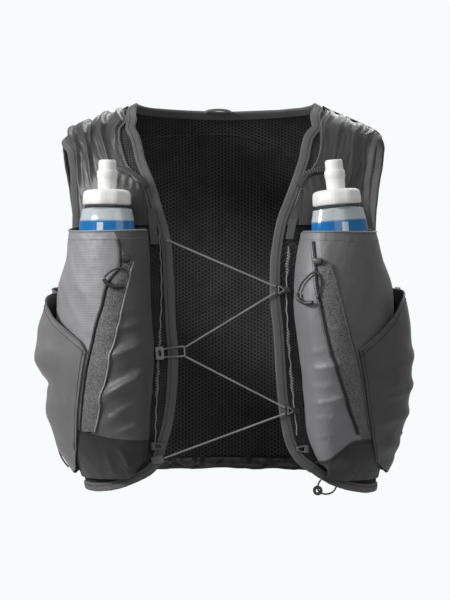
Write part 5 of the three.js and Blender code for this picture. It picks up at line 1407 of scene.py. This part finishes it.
def stitches(name, path, out, pitch, length, thickness, material, turn=0.0):
    """Threads along a line; the sizes are in millimetres and the turn in degrees."""
    mesh = bpy.data.meshes.new(name)
    mesh.from_pydata((path * MM).tolist(), [(i, i + 1) for i in range(len(path) - 1)], [])
    layer = mesh.attributes.new("out", "FLOAT_VECTOR", "POINT")
    layer.data.foreach_set("vector", np.ascontiguousarray(out, np.float32).ravel())
    obj = bpy.data.objects.new(name, mesh)
    bpy.context.collection.objects.link(obj)
    modifier = obj.modifiers.new("stitches", "NODES")
    modifier.node_group = STITCHES
    for label, value in (("Pitch", pitch * MM), ("Length", length * MM), ("Radius", thickness * MM / 2),
                         ("Turn", math.radians(turn)), ("Material", material)):
        modifier[SOCKETS[label]] = value
    obj.data = bpy.data.meshes.new_from_object(obj.evaluated_get(bpy.context.evaluated_depsgraph_get()))
    obj.modifiers.clear()
    obj.data.name = name
    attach(obj, "root")


def on_line(surface, side, rows, stand, shift=(0.0, 0.0), count=160):
    """Points off a surface along a line of places, and the direction out of it."""
    turn, drop = seam(side, rows)(np.linspace(0, 1, count)).T + np.reshape(shift, (2, 1))
    return on_surface(surface, side, turn, drop, stand)


def sewn(name, surface, side, rows, stand=0.15, shift=(0.0, 0.0), pitch=2.6, length=1.9, thickness=0.55,
         material=THREAD, turn=0.0):
    stitches(name, *on_line(surface, side, rows, stand, shift), pitch, length, thickness, material, turn)


def bead(name, surface, side, rows, stand, diameter, material, shift=(0.0, 0.0)):
    tube(name, on_line(surface, side, rows, stand, shift, 120)[0], diameter, material, 10)


# %% Binding stitches
STITCH_RISE = 0.22


def binding_stitches(name, line, direction, offset, height):
    centre, across, out = line[:3]
    stitches(name, centre + direction * offset * across + height * out, out, 2.7, 2.0, 0.7, THREAD_DARK)


binding_stitches("stitches_front_binding", FRONT_LINE, 1, 2.2, BINDING_TOP + STITCH_RISE)
for side in SIDES:
    binding_stitches(f"stitches_arm_{side}", ARM_LINE[side], -SIGN[side], 2.2, BINDING_TOP + STITCH_RISE)
    binding_stitches(f"stitches_hem_{side}", [part[9:] for part in HEM_EDGE[side]], SIGN[side], 1.8,
                     HEM_THICKNESS - BINDING_SINK + 0.2)
print("binding stitches sewn")

# %% Pocket seams, zips and piping
ZIP_TOP = {"right": [(0.158, 0.326), (0.156, 0.35)], "left": [(0.139, 0.33), (0.14, 0.355)]}
# Half the width of the coil, in turns towards the tape's far side
COIL_REACH = {"right": 0.0042, "left": -0.0042}
for side in SIDES:
    outward, tape, low = COIL_REACH[side], TAPE_LINE[side], LOW_SEAM[side][1:-1]
    coil = ZIP_TOP[side] + [row for row in ZIP_LINE[side] if row[1] > 0.37]
    bead(f"zip_bed_{side}", pocket_cloth, side, coil, 0.2, 2.6, COIL_BLACK, (outward, 0))
    for k, turn in enumerate((42, -42)):
        sewn(f"zip_coil_{side}_{k}", pocket_cloth, side, coil, 1.5, (outward * (0.8 + 0.4 * k), 0),
             1.3, 2.3, 0.8, COIL_BLACK, turn)
    bead(f"piping_{side}", pocket_cloth, side, tape, 1.5, 1.7,
         PIPING if side == "right" else PIPING_DARK, (-0.3 * outward, 0))
    sewn(f"stitches_tape_{side}", pocket_cloth, side, tape, 2.75, (outward * 0.75, 0), 2.4, 1.7)
    sewn(f"stitches_coil_{side}", pocket_cloth, side, coil, 0.3, (outward * 2.1, 0), 2.4, 1.7)
    bead(f"low_seam_{side}", pocket_cloth, side, low, 0.1, 1.1, PIPING_DARK)
    sewn(f"stitches_low_{side}", pocket_cloth, side, low, 0.2, (0, 0.009), 2.6, 1.8, material=THREAD_DARK)
    turn, drop = (rows[:, 4:-4] for rows in pocket_places(side, 140, 60))
    tube(f"mouth_roll_{side}", on_surface(pocket_cloth, side, turn[0], drop[0], 0.2)[0], 2.0,
         PANELS[side], 10)
    stitches(f"stitches_mouth_{side}", *on_surface(pocket_cloth, side, turn[2], drop[2], 0.2),
             2.6, 1.9, 0.5, THREAD)
print("pocket seams sewn")

# %% Side pocket hems
def side_cloth(side, turn, drop):
    return side_point(side, turn, drop, side_relief(side, turn, drop))


for side in SIDES:
    mouth = [row for row in SIDE_MOUTH[side] if row[0] < 0.56]
    bead(f"side_mouth_roll_{side}", side_cloth, side, mouth, 0.2, 2.0, SIDE_GREY)
    sewn(f"stitches_side_mouth_{side}", side_cloth, side, mouth, 0.2, (0.0, 0.018), material=THREAD_DARK)
    sewn(f"stitches_side_seam_{side}", side_cloth, side, SIDE_SEAM[side], 0.25, (0.006, 0.0),
         material=THREAD_DARK)

# %% Shoulder seams, strap pockets and rails
RAIL_PITCH = 2.8
# Rails beside the pockets: rows of (turn, drop), then where each is gathered into coils
RAILS = {
    "right": ([(0.107, 0.3), (0.106, 0.42), (0.11, 0.55), (0.118, 0.7), (0.128, 0.84)],
              [(0.56, 0.6), (0.64, 0.71)]),
    "left": ([(0.103, 0.34), (0.1, 0.44), (0.104, 0.56), (0.114, 0.7), (0.126, 0.82)],
             [(0.36, 0.4), (0.56, 0.6), (0.66, 0.7)]),
}


def lifted_cloth(lift):
    return lambda side, turn, drop: cloth(side, turn, drop, lift)


for side in SIDES:
    edge = [row for row in YOKE_EDGE[side] if row[1] < 0.25]
    sewn(f"overlock_{side}", lifted_cloth(YOKE_TOP), side, edge, 0.35, (0.0035, 0), 1.7, 3.4, 0.6, THREAD, 38)
    for shift, turn in ((0.004, STRAP_POCKET_INNER[side]), (-0.004, STRAP_POCKET_OUTER)):
        sewn(f"stitches_strap_{side}_{int(turn * 1000)}", lifted_cloth(STRAP_TOP), side,
             [(turn, 0.2), (turn, 0.24), (turn, 0.28)], 0.2, (shift, 0), material=THREAD_DARK)
    rows, coils = RAILS[side]
    turn, drop = seam(side, rows)(np.linspace(0, 1, 600)).T
    wave = sum(ease(a - 0.02, a, drop) * (1 - ease(b, b + 0.02, drop)) for a, b in coils)
    swing = drop * VEST_LENGTH * 2 * math.pi / RAIL_PITCH
    turn = turn + 0.0026 * wave * np.sin(swing) + 0.0008 * np.sin(drop * 160)
    lifted = 1.0 + 0.8 * wave * np.cos(swing)
    tube(f"rail_{side}", on_surface(lifted_cloth(MESH_WALL), side, turn, drop, lifted[:, None])[0], 1.3,
         CORD_LIGHT, 8)

# %% Back hem band, inner seam and storage seams
u, v = grid_of(300, 14)
turn = np.maximum(1 - 0.46 * np.abs(2 * u - 1), 0.5)
lift = 1.7 * value_noise(u * 60, v * 2.5 + 3, 41) + 0.8 * value_noise(u * 24, v * 5 + 9, 42) - 2.2
drop = table(HEM_BACK, turn) - 0.024 + (0.032 + 0.006 * value_noise(u * 20, 0 * v + 0.5, 43)) * v
cloth_piece("back_hem_band", both_sides(u, turn, drop, lift), -1.2, LOW_CLOTH, "gathered")
NECK_SEAM = [("right", [(0.8, 0.05), (0.85, 0.03), (0.93, 0.022), (1, 0.02)]),
             ("left", [(1, 0.02), (0.96, 0.03), (0.91, 0.065), (0.87, 0.105), (0.83, 0.13)])]
route = np.concatenate([cloth(side, *seam(side, rows)(np.linspace(0, 1, 40)).T, -0.3)
                        for side, rows in NECK_SEAM])
tube("inner_neck_seam", spline(route[::8], 120), 1.4, THREAD_DARK, 8)
# The two seams across the back, as hundredths of the way down the storage
STORAGE_SEAMS = (20, 86)
storage = back_grid(PACK_SIDE_TURN, pack_raise, 120, 100)
for row in STORAGE_SEAMS:
    line, normal = storage[row, 8:-8], grid_normals(storage)[row, 8:-8]
    stitches(f"stitches_storage_{row}", line + 0.2 * normal, normal, 2.8, 2.0, 0.55, THREAD)
    tube(f"storage_seam_{row}", spline((line + 0.1 * normal)[::4] + (0, 0, -3), 160), 1.3, YOKE_GREY, 8)
print("stitching done")

# %% [markdown]
# The vest hangs in white light like the photograph's: the camera sees a bright backdrop,
# a key light from high on the left of the picture models the folds, and a weak fill
# keeps the far side open.

# %% Floor, world and lights
FLOOR_LEVEL = -0.62
bpy.ops.mesh.primitive_plane_add(size=1.1, location=(0, 0, FLOOR_LEVEL))
floor = bpy.context.object
floor.name = "floor"
floor.data.materials.append(finish("floor", 0.4, 0.43, 0.9, bump=0))

world = bpy.data.worlds.new("backdrop")
bpy.context.scene.world = world
world.use_nodes = True
tree = world.node_tree
place = node(tree, "ShaderNodeTexCoord")["Generated"]
glow = node(tree, "ShaderNodeMapRange", {
    "Value": node(tree, "ShaderNodeSeparateXYZ", {0: place})[2], "From Min": -0.5, "From Max": 0.7,
    "To Min": 0.08, "To Max": 0.42})[0]
lit = wire(tree, tree.nodes["Background"], {"Color": (1, 1, 1, 1), "Strength": glow})[0]
seen = node(tree, "ShaderNodeBackground", {"Color": (0.94, 0.96, 0.965, 1)})[0]
by_camera = node(tree, "ShaderNodeLightPath")["Is Camera Ray"]
backdrop = node(tree, "ShaderNodeMixShader", {0: by_camera, 1: lit, 2: seen})[0]
wire(tree, tree.nodes["World Output"], {"Surface": backdrop})

# Name, place, size and power
LIGHTS = [("key", (-1.9, -1.0, 0.75), 0.6, 52), ("fill", (0.9, -2.2, 0.5), 1.4, 10),
          ("rim", (0.6, 1.5, 1.0), 0.9, 14)]
LIGHT_AIM = (0, 0, -0.2)
for name, place, size, power in LIGHTS:
    data = bpy.data.lights.new(name, "AREA")
    data.size, data.energy = size, power
    lamp = bpy.data.objects.new(name, data)
    lamp.location = place
    x, y, z = unit(np.subtract(LIGHT_AIM, place))
    lamp.rotation_euler = (math.acos(-z), 0, math.atan2(x, -y) + math.pi)
    bpy.context.collection.objects.link(lamp)
bpy.context.scene.view_settings.view_transform = "Standard"
